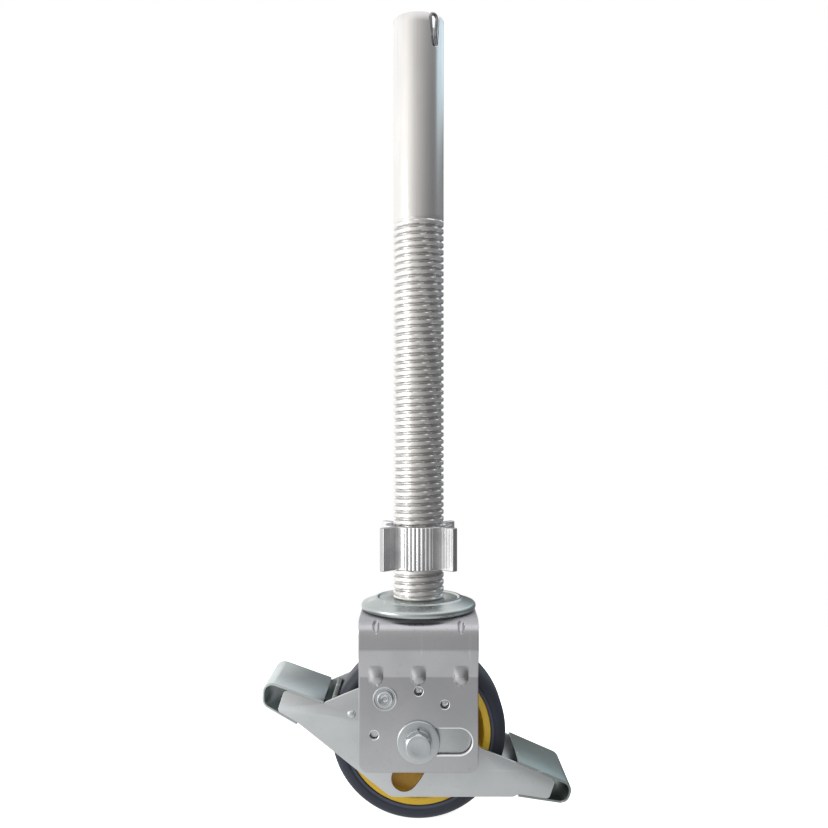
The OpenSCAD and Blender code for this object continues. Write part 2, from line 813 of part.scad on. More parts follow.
// Split ring under the bolt's head
module spring_washer() {
    color([0.55, 0.56, 0.58]) difference() {
        on_axle() band(axle_r, axle_r + 3.4, washer_end, spring_end);
        translate([-0.6, -spring_end - 1, axle_z]) cube([1.2, spring_washer_t + 2, 20]);
    }
}

// Bolt with its hexagon head in front, one corner up, and a chamfer round the head
module axle_bolt() {
    shank = spring_end + washer_end + axle_nut_h + 3;
    color([0.6, 0.61, 0.63]) {
        translate([0, shank - spring_end, axle_z]) rotate([90, 0, 0]) cylinder(h = shank, r = axle_r);
        translate([0, -spring_end, axle_z]) rotate([90, 30, 0]) intersection() {
            cylinder(h = axle_head_h, d = axle_af / cos(30), $fn = 6);
            translate([0, 0, -12]) cylinder(h = axle_head_h + 12, r1 = axle_af / 2 + 12 * 1.5, r2 = axle_af / 2 - 0.4);
        }
    }
}

module axle_nut() {
    color([0.6, 0.61, 0.63]) translate([0, washer_end, axle_z]) rotate([-90, 30, 0]) difference() {
        union() {
            cylinder(h = axle_nut_h * 0.75, d = axle_af / cos(30), $fn = 6);
            cylinder(h = axle_nut_h, r = axle_af / 2 - 0.6);
        }
        translate([0, 0, -1]) cylinder(h = axle_nut_h + 2, r = axle_r);
    }
}

leg_tube();
leg_plug();
retaining_clip();
leg_nut();
bearing_cap();
upper_balls();
lower_balls();
lower_cup();
swivel_sleeve();
kingbolt();
fork();
pivot_rivet_front();
pivot_rivet_rear();
pivot_washer_front();
pivot_washer_rear();
lever_plate_front();
lever_plate_rear();
release_pedal();
lock_pedal();
brake_shoe();
tyre();
wheel_core();
bearing_outer_rings();
bearing_inner_rings();
bearing_balls();
hub_spacer();
slot_bush_front();
slot_bush_rear();
axle_washer_front();
axle_washer_rear();
spring_washer();
axle_bolt();
axle_nut();
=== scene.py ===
import math

import bmesh
import bpy
import numpy as np
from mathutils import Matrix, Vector


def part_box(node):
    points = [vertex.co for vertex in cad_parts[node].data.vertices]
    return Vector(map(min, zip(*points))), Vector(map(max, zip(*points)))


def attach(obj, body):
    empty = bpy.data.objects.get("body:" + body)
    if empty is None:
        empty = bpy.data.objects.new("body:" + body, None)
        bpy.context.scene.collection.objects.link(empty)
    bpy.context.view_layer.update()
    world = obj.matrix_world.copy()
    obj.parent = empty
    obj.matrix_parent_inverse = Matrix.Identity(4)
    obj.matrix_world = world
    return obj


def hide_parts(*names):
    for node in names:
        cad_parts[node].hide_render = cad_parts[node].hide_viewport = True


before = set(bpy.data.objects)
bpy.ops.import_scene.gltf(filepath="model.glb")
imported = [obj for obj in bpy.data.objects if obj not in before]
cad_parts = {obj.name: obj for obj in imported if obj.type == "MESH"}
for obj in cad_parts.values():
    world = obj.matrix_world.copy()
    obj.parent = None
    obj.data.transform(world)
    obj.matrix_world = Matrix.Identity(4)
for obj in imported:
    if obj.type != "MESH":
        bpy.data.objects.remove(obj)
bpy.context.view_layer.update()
MM = 0.001
scene = bpy.context.scene
scene.view_settings.view_transform = "Standard"


# The camera
# It stands level in front of the castor, at half the castor's height, as in the photo.
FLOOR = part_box("tyre")[0].z / MM
EYE_HEIGHT = 282.0
EYE_DISTANCE = 670.0
FOCAL_PX = 918.0
PHOTO_PX = 828.0
AXIS_PX = 418.5
HORIZON_PX = 425.0

camera = bpy.data.objects.new("camera", bpy.data.cameras.new("camera"))
scene.collection.objects.link(camera)
camera.location = (0, -EYE_DISTANCE * MM, (FLOOR + EYE_HEIGHT) * MM)
camera.rotation_euler = (math.radians(90), 0, 0)
camera.data.sensor_width = 36
camera.data.lens = FOCAL_PX / PHOTO_PX * camera.data.sensor_width
camera.data.shift_x = -(AXIS_PX - PHOTO_PX / 2) / PHOTO_PX
camera.data.shift_y = (HORIZON_PX - PHOTO_PX / 2) / PHOTO_PX
camera.data.clip_start = 0.01
scene.camera = camera


# The studio
# A white wall stands to the castor's left, and the room darkens through grey to its right, where one
# pale blue window hangs high up. The camera itself sees plain white.
class Value:
    """A socket whose operators add Math nodes to its own finish."""

    def __init__(self, finish, socket):
        self.finish = finish
        self.socket = socket

    def math(self, operation, *others):
        """A Math node on this value and the others."""
        return self.finish.node("ShaderNodeMath", {"operation": operation}, [self, *others])

    def __add__(self, other):
        return self.math("ADD", other)

    def __sub__(self, other):
        return self.math("SUBTRACT", other)

    def __mul__(self, other):
        return self.math("MULTIPLY", other)

    def __truediv__(self, other):
        return self.math("DIVIDE", other)

    def __pow__(self, other):
        return self.math("POWER", other)

    def __rsub__(self, other):
        return self.finish.node("ShaderNodeMath", {"operation": "SUBTRACT"}, [other, self])

    __radd__ = __add__
    __rmul__ = __mul__

    def ramp(self, low, high):
        """0 up to low, 1 from high, and smooth between them."""
        settings = {"interpolation_type": "SMOOTHSTEP"}
        return self.finish.node("ShaderNodeMapRange", settings, [self, low, high, 0.0, 1.0])


class Finish:
    """The node tree of a material or of the world."""

    def __init__(self, owner):
        owner.use_nodes = True
        self.owner = owner
        self.tree = owner.node_tree
        self.tree.nodes.clear()

    def node(self, kind, settings=None, values=(), output=0):
        """A node of that kind. Its settings come first, a ramp's stops among them, then the values or
        links of its sockets, in order or by name. It gives the output, or one for each name in a tuple."""
        made = self.tree.nodes.new(kind)
        for key, setting in (settings or {}).items():
            if key != "stops":
                setattr(made, key, setting)
                continue
            for index, (at, colour) in enumerate(setting):
                elements = made.color_ramp.elements
                stop = elements[index] if index < 2 else elements.new(at)
                stop.position = at
                stop.color = (*colour, 1)
        named = values.items() if isinstance(values, dict) else enumerate(values)
        for key, value in named:
            socket = made.inputs[key]
            if isinstance(value, Value):
                self.tree.links.new(value.socket, socket)
            elif socket.type == "RGBA" and len(value) == 3:
                socket.default_value = (*value, 1)
            else:
                socket.default_value = value
        if isinstance(output, tuple):
            return [Value(self, made.outputs[key]) for key in output]
        return Value(self, made.outputs[output]) if made.outputs else made

    def mix(self, factor, first, second):
        """The colour between two, by the factor."""
        settings = {"data_type": "RGBA"}
        return self.node("ShaderNodeMix", settings, {0: factor, 6: first, 7: second}, output=2)

    def noise(self, scale, detail=3.0, rough=0.5, stretch=(1, 1, 1), turn=(0, 0, 0)):
        """Noise over the piece's own place, in waves per metre, drawn out where stretch is small."""
        point = self.node("ShaderNodeTexCoord", output="Object")
        values = {"Vector": point, "Rotation": turn, "Scale": stretch}
        place = self.node("ShaderNodeMapping", {}, values)
        values = {"Vector": place, "Scale": scale, "Detail": detail, "Roughness": rough}
        return self.node("ShaderNodeTexNoise", {}, values)

    def place(self):
        """The piece's own x, y and z in metres."""
        point = self.node("ShaderNodeTexCoord", output="Object")
        return self.node("ShaderNodeSeparateXYZ", {}, [point], ("X", "Y", "Z"))

    def shader(self, height, depth, **sockets):
        """Ends the finish in one Principled shader, with a bump of that height and depth in metres."""
        values = {key.replace("_", " "): value for key, value in sockets.items()}
        values["Normal"] = self.node("ShaderNodeBump", {}, {"Height": height, "Distance": depth})
        surface = self.node("ShaderNodeBsdfPrincipled", {}, values)
        self.node("ShaderNodeOutputMaterial", {}, {"Surface": surface})
        return self.owner


def screen(red, green, blue):
    """A colour as a screen shows it, 0 to 255, in the shader's linear numbers."""
    c = np.array([red, green, blue]) / 255
    return tuple(np.where(c <= 0.04045, c / 12.92, ((c + 0.055) / 1.055) ** 2.4).tolist())


# The room's brightness in each direction, from straight behind the castor round by its left
WALLS = [
    (0.0, (0.84, 0.84, 0.83)),
    (0.06, (0.92, 0.92, 0.91)),
    (0.15, (1.0, 1.0, 1.0)),
    (0.27, (1.0, 1.0, 0.99)),
    (0.34, (0.98, 0.97, 0.95)),
    (0.40, (0.76, 0.75, 0.73)),
    (0.46, (0.53, 0.525, 0.515)),
    (0.53, (0.37, 0.365, 0.36)),
    (0.60, (0.24, 0.24, 0.24)),
    (0.67, (0.17, 0.17, 0.175)),
    (0.80, (0.19, 0.19, 0.195)),
    (0.95, (0.20, 0.20, 0.20)),
    (0.985, (0.08, 0.08, 0.08)),
    (1.0, (0.06, 0.06, 0.06)),
]
studio = bpy.data.worlds.new("studio")
scene.world = studio
room = Finish(studio)
sky = room.node("ShaderNodeTexCoord", output="Generated")
east, north, up = room.node("ShaderNodeSeparateXYZ", {}, [sky], ("X", "Y", "Z"))
around = room.node("ShaderNodeMath", {"operation": "ARCTAN2"}, [east, 0 - north]) / (2 * math.pi) + 0.5
walls = room.node("ShaderNodeValToRGB", {"stops": WALLS}, [around])
ceiling = up.ramp(0.36, 0.72)
walls = room.mix(ceiling, walls, (0.90, 0.90, 0.91))
walls = room.mix(up.ramp(0.94, 1.0) * 0.7, walls, (0.35, 0.35, 0.35))
window = around.ramp(0.735, 0.775) * (1 - around.ramp(0.93, 0.96))
window = window * up.ramp(0.30, 0.335) * (1 - ceiling)
walls = room.mix(window, walls, (0.72, 0.90, 1.0))
lit = room.node("ShaderNodeBackground", {}, [walls, 1.25])
white = room.node("ShaderNodeBackground", {}, [(1.0, 1.0, 1.0), 1.0])
seen = room.node("ShaderNodeLightPath", output="Is Camera Ray")
room.node("ShaderNodeOutputWorld", {}, [room.node("ShaderNodeMixShader", {}, [seen, lit, white])])


def lamp(name, place, size, power):
    """A square soft lamp at a place in metres, turned to the middle of the castor."""
    light = bpy.data.objects.new(name, bpy.data.lights.new(name, "AREA"))
    light.data.size = size
    light.data.energy = power
    light.location = place
    aim = Vector((0, 0, (FLOOR + 150) * MM)) - Vector(place)
    light.rotation_euler = aim.to_track_quat("-Z", "Y").to_euler()
    scene.collection.objects.link(light)


lamp("left_lamp", (-1.1, -0.6, FLOOR * MM + 0.3), 0.6, 4.0)

# The metal sees the paper as a painted glow: bright where it lies near the castor and fading with distance,
# lighter to the castor's left and darker to its right
FLOOR_HALF = 0.6
corners = FLOOR_HALF * np.array([(-1, -1, 0), (1, -1, 0), (1, 1, 0), (-1, 1, 0)])
floor = bpy.data.objects.new("floor", bpy.data.meshes.new("floor"))
floor.data.from_pydata((corners + (0, 0, FLOOR * MM)).tolist(), [], [(0, 1, 2, 3)])
scene.collection.objects.link(floor)
paper = Finish(bpy.data.materials.new("paper"))
seen, glossy = paper.node("ShaderNodeLightPath", output=("Is Camera Ray", "Is Glossy Ray"))
x, y, z = paper.place()
far = ((x * x + y * y) ** 0.5).ramp(0.12, 0.5)
sheen = paper.mix(far, (0.86, 0.87, 0.865), (0.40, 0.40, 0.41))
sheen = paper.mix(x.ramp(-0.12, 0.14) * 0.35, sheen, (0.3, 0.3, 0.3))
sheen = paper.mix(1 - x.ramp(-0.24, -0.1), sheen, (1.15, 1.15, 1.15))
sheen = paper.mix(x.ramp(0.1, 0.22), sheen, (0.18, 0.18, 0.18))
matt = paper.node("ShaderNodeBsdfDiffuse", {}, [(0.86, 0.86, 0.86)])
lift = paper.node("ShaderNodeEmission", {}, [(1.0, 1.0, 1.0), seen * 0.9])
both = paper.node("ShaderNodeAddShader", {}, [matt, lift])
reflected = paper.node("ShaderNodeEmission", {}, [sheen, 1.0])
surface = paper.node("ShaderNodeMixShader", {}, [glossy, both, reflected])
paper.node("ShaderNodeOutputMaterial", {}, {"Surface": surface})
floor.data.materials.append(paper.owner)


# The leg
# An aluminium tube with a plain top and a rolled thread below it, which fades in under the top.
# A slot in its rim holds the spring clip, and its foot sits on the swivel head's cap.
LEG_R = 18.35
BORE_R = 13.85
SPIGOT = 145.0
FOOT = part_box("leg_tube")[0].z / MM
PITCH = 5.1
THREAD_DEPTH = 1.7
WIRE_R = 1.2
LOOP_HALF = 3.05
STRAND_AT = 1.3
LOOP_PROUD = 1.5
LOOP_H = 23.5
CLIP_TURN = math.radians(-50)
ARCH_Z = LOOP_PROUD - WIRE_R - LOOP_HALF
TURN_IN_Z = LOOP_PROUD - LOOP_H + WIRE_R
SHARP = math.radians(25)


def solid(name, points, wrap=(False, True), caps=False):
    """A closed mesh from a grid of points in millimetres, points[u, v]: one face for each cell, closed
    round u or v where wrap says so, and one flat face over each end of u where caps is true."""
    nu, nv = points.shape[:2]
    u = np.arange(nu if wrap[0] else nu - 1)[:, None]
    v = np.arange(nv if wrap[1] else nv - 1)[None, :]
    u1, v1 = (u + 1) % nu, (v + 1) % nv
    faces = np.stack([u * nv + v, u1 * nv + v, u1 * nv + v1, u * nv + v1], -1).reshape(-1, 4).tolist()
    if caps:
        faces += [list(range(nv))[::-1], list(range((nu - 1) * nv, nu * nv))]
    mesh = bpy.data.meshes.new(name)
    mesh.from_pydata((points.reshape(-1, 3) * MM).tolist(), [], faces)
    work = bmesh.new()
    work.from_mesh(mesh)
    bmesh.ops.remove_doubles(work, verts=work.verts, dist=1e-7)
    bmesh.ops.recalc_face_normals(work, faces=work.faces)
    work.to_mesh(mesh)
    work.free()
    mesh.shade_smooth()
    mesh.set_sharp_from_angle(angle=SHARP)
    made = bpy.data.objects.new(name, mesh)
    scene.collection.objects.link(made)
    return made


def joined(target, operation, *tools):
    """The target with each tool's solid taken out of it or added to it."""
    for tool in tools:
        step = target.modifiers.new("join", "BOOLEAN")
        step.operation = operation
        step.solver = "EXACT"
        step.object = tool
    bpy.context.view_layer.update()
    changed = target.evaluated_get(bpy.context.evaluated_depsgraph_get())
    target.data = bpy.data.meshes.new_from_object(changed)
    target.modifiers.clear()
    target.data.shade_smooth()
    target.data.set_sharp_from_angle(angle=SHARP)
    for tool in tools:
        bpy.data.objects.remove(tool)


def thread_depth(height, turn):
    """How far the thread's groove goes in at a height and an angle: a flat-bottomed wave of the height in
    pitches less the angle in turns, which fades in under the plain top and out above the foot."""
    wave = 0.5 - 0.5 * np.cos(2 * math.pi * (height / PITCH - turn / (2 * math.pi)))
    groove = np.clip((wave - 0.48) / 0.42, 0, 1)
    groove = groove * groove * (3 - 2 * groove)
    fade = np.clip((-SPIGOT - height) / (0.9 * PITCH), 0, 1) * np.clip((height - FOOT - 1) / 2, 0, 1)
    return THREAD_DEPTH * groove * fade


def leg_tube():
    """Rows down the outside, in at the foot, up the bore and out over the rim, each a ring of radius
    times (cos t, sin t) at its height, with the thread's depth taken off the outside."""
    turn = np.linspace(0, 2 * math.pi, 96, endpoint=False)[None, :]
    plain = np.linspace(-0.5, 2 - SPIGOT, 24)
    threaded = np.linspace(-SPIGOT, FOOT + 1, 490)
    height = np.concatenate([plain, threaded])[:, None]
    outside = LEG_R - thread_depth(height, turn)
    rest = np.array([(LEG_R - 1, FOOT), (BORE_R + 0.4, FOOT), (BORE_R, FOOT + 0.4), (BORE_R, -0.7),
                     (BORE_R + 0.2, -0.2), (BORE_R + 0.7, 0), (LEG_R - 0.5, 0), (LEG_R - 0.15, -0.15)])
    radius = np.concatenate([outside, rest[:, :1] + 0 * turn])
    level = np.concatenate([height + 0 * turn, rest[:, 1:] + 0 * turn])
    points = np.stack([radius * np.cos(turn), radius * np.sin(turn), level], -1)
    return solid("leg_surface", points, wrap=(True, True))


def slot_block():
    """The clip slot's outline, wide at the rim and round at its foot, carried outwards through the wall
    along the clip's direction."""
    room_round = 0.5
    foot_r = STRAND_AT + WIRE_R + room_round
    rim_half = LOOP_HALF + WIRE_R + room_round
    arc = np.linspace(math.pi, 2 * math.pi, 17)
    foot = np.stack([foot_r * np.cos(arc), TURN_IN_Z + foot_r * np.sin(arc)], -1)
    mouth = [(rim_half, ARCH_Z), (rim_half, 3), (-rim_half, 3), (-rim_half, ARCH_Z)]
    outline = np.concatenate([foot, mouth])
    out = np.array([12.0, 24.0])[:, None]
    across, up = outline[:, 0] + 0 * out, outline[:, 1] + 0 * out
    x = out * math.cos(CLIP_TURN) - across * math.sin(CLIP_TURN)
    y = out * math.sin(CLIP_TURN) + across * math.cos(CLIP_TURN)
    return solid("slot_block", np.stack([x, y, up], -1), caps=True)


def drawn_aluminium():
    """Bright drawn tube: fine lines along its length, soft dull clouds, and painted shade in the thread's
    roots and down the bore.
    """
    f = Finish(bpy.data.materials.new("drawn_aluminium"))
    x, y, z = f.place()
    lines = f.noise(900, 4, 0.6, stretch=(1, 1, 0.015))
    cloud = f.noise(30, 3, 0.5, stretch=(1, 1, 0.4))
    grain = f.noise(2500, 2, 0.6)
    radius = (x * x + y * y) ** 0.5
    # Painted shade: the thread's roots are greyer than the crests
    root_shade = 1 - radius.ramp((LEG_R - THREAD_DEPTH) * MM, (LEG_R - 0.5) * MM)
    root_shade = root_shade * (1 - z.ramp((-SPIGOT - 4) * MM, -SPIGOT * MM))
    # Painted shade: the bore is greyer than the outside
    bore_shade = 1 - radius.ramp((BORE_R + 0.3) * MM, (BORE_R + 0.8) * MM)
    tone = f.mix(cloud.ramp(0.35, 0.65), screen(233, 231, 229), screen(224, 222, 220))
    tone = f.mix(lines.ramp(0.5, 0.8) * 0.25, tone, screen(190, 190, 191))
    tone = f.mix(root_shade * 0.6, tone, screen(165, 164, 162))
    tone = f.mix(bore_shade, tone, screen(150, 150, 150))
    threaded = 1 - z.ramp((-SPIGOT - 8) * MM, -SPIGOT * MM)
    rough = 0.15 + 0.1 * cloud + 0.08 * lines + 0.12 * threaded
    return f.shader(lines * 0.7 + grain * 0.3, 0.00003, Base_Color=tone, Metallic=1.0, Roughness=rough)


leg = leg_tube()
joined(leg, "DIFFERENCE", slot_block())
leg.data.materials.append(drawn_aluminium())
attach(leg, "leg")
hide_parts("leg_tube")


# The retaining clip
# Drawn spring wire bent into a loop that stands in the slot in the leg's rim. Its arch stands a little
# proud of the tube until it is pressed in, and both of its ends turn in behind the wall.
CLIP_OUT = math.sqrt((LEG_R - WIRE_R - 0.1) ** 2 - LOOP_HALF**2)
HOOK_IN = CLIP_OUT - BORE_R + WIRE_R + 1.9
HOOK_H = 10.0


def rounded(corners, radii, steps=6):
    """The corners, each replaced by an arc of its radius that meets both its sides smoothly. An arc's
    point is its centre plus start times sin(rest) plus end times sin(done), over sin(turn)."""
    p = np.asarray(corners, float)
    parts = []
    for i, radius in enumerate(radii):
        if not radius:
            parts.append(p[i : i + 1])
            continue
        a, b, c = p[i - 1], p[i], p[(i + 1) % len(p)]
        u, w = (a - b) / np.linalg.norm(a - b), (c - b) / np.linalg.norm(c - b)
        half = math.acos(u @ w) / 2
        turn = math.pi - 2 * half
        centre = b + (u + w) / np.linalg.norm(u + w) * radius / math.sin(half)
        start, end = b + u * radius / math.tan(half) - centre, b + w * radius / math.tan(half) - centre
        t = np.linspace(0, 1, steps + 1)[:, None]
        parts.append(centre + (start * np.sin(turn * (1 - t)) + end * np.sin(turn * t)) / math.sin(turn))
    return np.concatenate(parts)


def wire(name, path, radius, sides=16):
    """Round wire: at each point of the path a circle across the path's direction, whose start is the last
    one's, turned with the path and not twisted. Its ends are drawn in to a small chamfer."""
    ahead = np.gradient(path, axis=0)
    ahead /= np.linalg.norm(ahead, axis=1, keepdims=True)
    side = [np.array([1.0, 0, 0])]
    for direction in ahead:
        flat = side[-1] - direction * (side[-1] @ direction)
        side.append(flat / np.linalg.norm(flat))
    side = np.array(side[1:])
    above = np.cross(ahead, side)
    t = np.linspace(0, 2 * math.pi, sides, endpoint=False)
    ring = side[:, None] * np.cos(t)[:, None] + above[:, None] * np.sin(t)[:, None]
    size = np.full((len(path), 1, 1), radius)
    size[[0, -1]] *= 0.8
    return solid(name, path[:, None] + ring * size, caps=True)


def clip_strand(side):
    """One strand from its hidden end up to the arch: (across, in, up) from the loop's middle."""
    foot = [side * STRAND_AT, HOOK_IN, TURN_IN_Z - HOOK_H]
    corners = [foot, [foot[0], HOOK_IN, TURN_IN_Z], [foot[0], 0, TURN_IN_Z], [side * LOOP_HALF, 0, ARCH_Z]]
    tip = [foot[0], HOOK_IN, TURN_IN_Z - HOOK_H + 0.3]
    return np.concatenate([[foot, tip], rounded(corners, [0, 1.6, 1.6, 0])[1:]])


def spring_wire():
    """Dark drawn wire with fine lines and a few dull spots."""
    f = Finish(bpy.data.materials.new("spring_wire"))
    spots = f.noise(500, 3, 0.6)
    lines = f.noise(2600, 3, 0.6, stretch=(1, 1, 0.05))
    tone = f.mix(spots.ramp(0.4, 0.7), screen(172, 174, 176), screen(120, 122, 125))
    return f.shader(lines, 0.00003, Base_Color=tone, Metallic=1.0, Roughness=0.22 + 0.15 * spots)


arch_turn = np.linspace(math.pi, 0, 19)[1:-1]
arch = np.stack([LOOP_HALF * np.cos(arch_turn), 0 * arch_turn, ARCH_Z + LOOP_HALF * np.sin(arch_turn)], -1)
loop = np.concatenate([clip_strand(-1), arch, clip_strand(1)[::-1]])
outwards = np.array([math.cos(CLIP_TURN), math.sin(CLIP_TURN), 0])
sideways = np.array([-math.sin(CLIP_TURN), math.cos(CLIP_TURN), 0])
loop = loop[:, :1] * sideways + (CLIP_OUT - loop[:, 1:2]) * outwards + loop[:, 2:] * np.array([0, 0, 1])
clip = wire("clip_wire", loop, WIRE_R)
clip.data.materials.append(spring_wire())
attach(clip, "clip")
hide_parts("retaining_clip")


# The collar nut
# An aluminium extrusion sawn to length: a barrel with fluted grips and four ribbed wings, screwed on
# the leg. Its saw-cut ends are duller than its sides.
NUT_LOW, NUT_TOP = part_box("leg_nut")[0].z / MM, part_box("leg_nut")[1].z / MM
WING_R = 36.5
WING_HALF = 2.2
WING_EDGE = 0.5
BARREL_R = 23.8
FLUTE_R = 2.2
FLUTE_AT = BARREL_R - 1.65
FLUTE_STEP = math.radians(7.2)
NUT_BORE = LEG_R + 0.3
BORE_CUT = 1.2


def nut_outline():
    """A quarter is a wing and the barrel after it, and the other three are turned copies. The barrel's
    radius is the larger of its own and that of the nearest flute's circle, and a wing's half thickness
    is a shallow wave along it that ends in a flat tip with round edges."""
    along = np.linspace(BARREL_R - 0.3, WING_R - WING_EDGE, 40)
    half = WING_HALF - 0.02 + 0.02 * np.cos(2 * math.pi * (along - along[-1]) / 2.6)
    tip = np.linspace(0, math.pi / 2, 6)[1:]
    tip = np.stack([along[-1] + WING_EDGE * np.sin(tip), WING_HALF - WING_EDGE * (1 - np.cos(tip))], -1)
    tip = np.concatenate([tip * (1, -1), tip[::-1]])
    wing = np.concatenate([np.stack([along, -half], -1), tip, np.stack([along, half], -1)[::-1]])
    wing = wing @ np.array([[1, 1], [-1, 1]]) / math.sqrt(2)
    t = np.linspace(math.radians(52), math.radians(128), 150)
    off = t - math.pi / 2
    off = off - FLUTE_STEP * np.clip(np.round(off / FLUTE_STEP), -3, 3)
    reach = FLUTE_R**2 - (FLUTE_AT * np.sin(off)) ** 2
    r = np.where(reach > 0, FLUTE_AT * np.cos(off) + np.sqrt(np.maximum(reach, 0)), BARREL_R)
    r = np.maximum(r, BARREL_R)
    quarter = np.concatenate([wing, np.stack([r * np.cos(t), r * np.sin(t)], -1)])
    turns = [np.array([[0, 1], [-1, 0]]), np.array([[-1, 0], [0, -1]]), np.array([[0, -1], [1, 0]])]
    return np.concatenate([quarter, *[quarter @ turn for turn in turns]])


def drawn_in(outline, distance):
    """The closed outline moved inwards: each point goes along the mean of its two sides' normals."""
    p = np.asarray(outline, float)
    ahead = np.roll(p, -1, 0) - p
    ahead /= np.linalg.norm(ahead, axis=1, keepdims=True)
    mean = ahead + np.roll(ahead, 1, 0)
    mean /= np.linalg.norm(mean, axis=1, keepdims=True)
    area = np.sum(p[:, 0] * np.roll(p[:, 1], -1) - p[:, 1] * np.roll(p[:, 0], -1))
    step = distance * np.sign(area) / np.maximum((mean * ahead).sum(1), 0.5)
    return p + np.stack([-mean[:, 1], mean[:, 0]], -1) * step[:, None]


def extruded_aluminium():
    """Extruded bar: bright sides with fine die lines up and down, dull saw marks on its two ends, and
    painted shade over the wing tips.
    """
    f = Finish(bpy.data.materials.new("extruded_aluminium"))
    x, y, z = f.place()
    lines = f.noise(1300, 3, 0.6, stretch=(1, 1, 0.02))
    saw = f.noise(1800, 3, 0.7, stretch=(0.03, 1, 1), turn=(0, 0, 0.4))
    cloud = f.noise(60, 3)
    end = z.ramp((NUT_TOP - 0.25) * MM, (NUT_TOP - 0.05) * MM)
    tone = f.mix(cloud.ramp(0.35, 0.7), screen(228, 228, 229), screen(212, 212, 214))
    tone = f.mix(end * (0.6 + 0.4 * saw), tone, screen(140, 140, 142))
    # Painted shade: the wing tips are darker
    tip = ((x * x + y * y) ** 0.5).ramp((WING_R - 0.9) * MM, (WING_R - 0.3) * MM)
    tone = f.mix(tip * 0.5, tone, screen(140, 140, 142))
    rough = 0.2 + 0.1 * cloud + 0.2 * end
    height = lines * (1 - end) * 0.15 + saw * end * 3
    return f.shader(height, 0.00004, Base_Color=tone, Metallic=1.0, Roughness=rough)


outline = nut_outline()
facing = outline / np.linalg.norm(outline, axis=1, keepdims=True)
levels = [(0.4, NUT_LOW), (0, NUT_LOW + 0.4), (0, NUT_TOP - 0.4), (0.4, NUT_TOP)]
rows = [np.column_stack([drawn_in(outline, inset), np.full(len(outline), z)]) for inset, z in levels]
bore = [(NUT_BORE + BORE_CUT, NUT_TOP), (NUT_BORE, NUT_TOP - BORE_CUT),
        (NUT_BORE, NUT_LOW + BORE_CUT), (NUT_BORE + BORE_CUT, NUT_LOW)]
rows += [np.column_stack([facing * r, np.full(len(outline), z)]) for r, z in bore]
nut = solid("collar_nut", np.array(rows), wrap=(True, True))
nut.data.materials.append(extruded_aluminium())
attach(nut, "nut")
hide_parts("leg_nut")


# The swivel head
# A pressed steel cap over a ring of balls: flat under the leg, a fine ridge over the balls, and a skirt
# that slopes out to a turned-in lip. The kingbolt, its cup and the balls under it keep their CAD forms.
CAP_T = 2.0
CAP_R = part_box("bearing_cap")[1].x / MM
RIDGE_H = 0.8
LIP_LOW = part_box("bearing_cap")[0].z / MM
BALLS_R = 29.0
KINGBOLT_R = 7.0


def beside(path, distance):
    """The open path moved to its left: each point goes along the mean of its two sides' normals."""
    p = np.asarray(path, float)
    side = np.diff(p, axis=0)
    side /= np.linalg.norm(side, axis=1, keepdims=True)
    before, after = np.vstack([side[:1], side]), np.vstack([side, side[-1:]])
    mean = (before + after) / np.linalg.norm(before + after, axis=1, keepdims=True)
    step = distance / (mean * before).sum(1)
    return p + np.stack([-mean[:, 1], mean[:, 0]], -1) * step[:, None]


def sheet_outline(path, radii, thickness, edge=0.0):
    """The outline of a sheet bent along a path: the path moved to both sides by half the thickness, with
    its four end corners cut off by edge."""
    middle = rounded(path, radii)
    left, right = beside(middle, thickness / 2), beside(middle, -thickness / 2)[::-1]
    outline = np.concatenate([left, right])
    corners = np.zeros(len(outline))
    corners[[0, len(left) - 1, len(left), -1]] = edge
    return rounded(outline, corners, steps=2)


def turned(name, profile, around=96, centre=(0, 0, 0), lying=False, closed=False):
    """A profile of (radius, height) carried round an axis: the point at angle t is radius times
    (cos t, sin t) across the axis. The axis is Z, or Y where the piece is lying."""
    t = np.linspace(0, 2 * math.pi, around, endpoint=False)[None, :]
    radius, height = np.asarray(profile, float).T[:, :, None]
    across, up, along = radius * np.cos(t), radius * np.sin(t), height + 0 * t
    points = np.stack([across, along, up] if lying else [across, up, along], -1) + np.array(centre)
    return solid(name, points, wrap=(closed, True))


def zinc(name, tone, shade, rough, grain=(1, 1, 1), marks=0.5, relief=1.0, burnish_and_highlight=None, dull=None):
    """Zinc plate on steel: soft clouds from the bath, fine lines along the sheet's grain, small dull
    specks, and fine short scratches in two directions. The burnish_and_highlight mask marks edges painted
    near-white for burnished zinc and a painted highlight, and dull that of a part whose plate is rougher."""
    f = Finish(bpy.data.materials.new(name))
    cloud = f.noise(22, 3, 0.55)
    specks = f.noise(420, 4, 0.65)
    lines = f.noise(900, 3, 0.6, stretch=grain)
    one = f.noise(150, 2, 0.5, stretch=(1, 0.3, 0.04), turn=(0, 0.7, 0)).ramp(0.69, 0.73)
    two = f.noise(170, 2, 0.5, stretch=(0.05, 0.3, 1), turn=(0, 0.35, 0)).ramp(0.70, 0.74)
    scratch = (one + two) * marks
    colour = f.mix(cloud.ramp(0.32, 0.68), tone, shade)
    colour = f.mix(specks.ramp(0.58, 0.75) * 0.35, colour, tuple(0.72 * c for c in shade))
    colour = f.mix(scratch * 0.5, colour, screen(225, 226, 228))
    # Near-white along the masked edges: partly burnished zinc, partly a painted highlight
    if burnish_and_highlight:
        colour = f.mix(burnish_and_highlight(f), colour, screen(248, 249, 250))
    height = lines * 0.5 + specks * 0.25 - scratch
    roughness = rough + 0.1 * cloud + 0.1 * specks - 0.06 * scratch
    if dull:
        roughness = roughness + 0.4 * dull(f)
    return f.shader(height, 0.00003 * relief, Base_Color=colour, Metallic=1.0, Roughness=roughness)


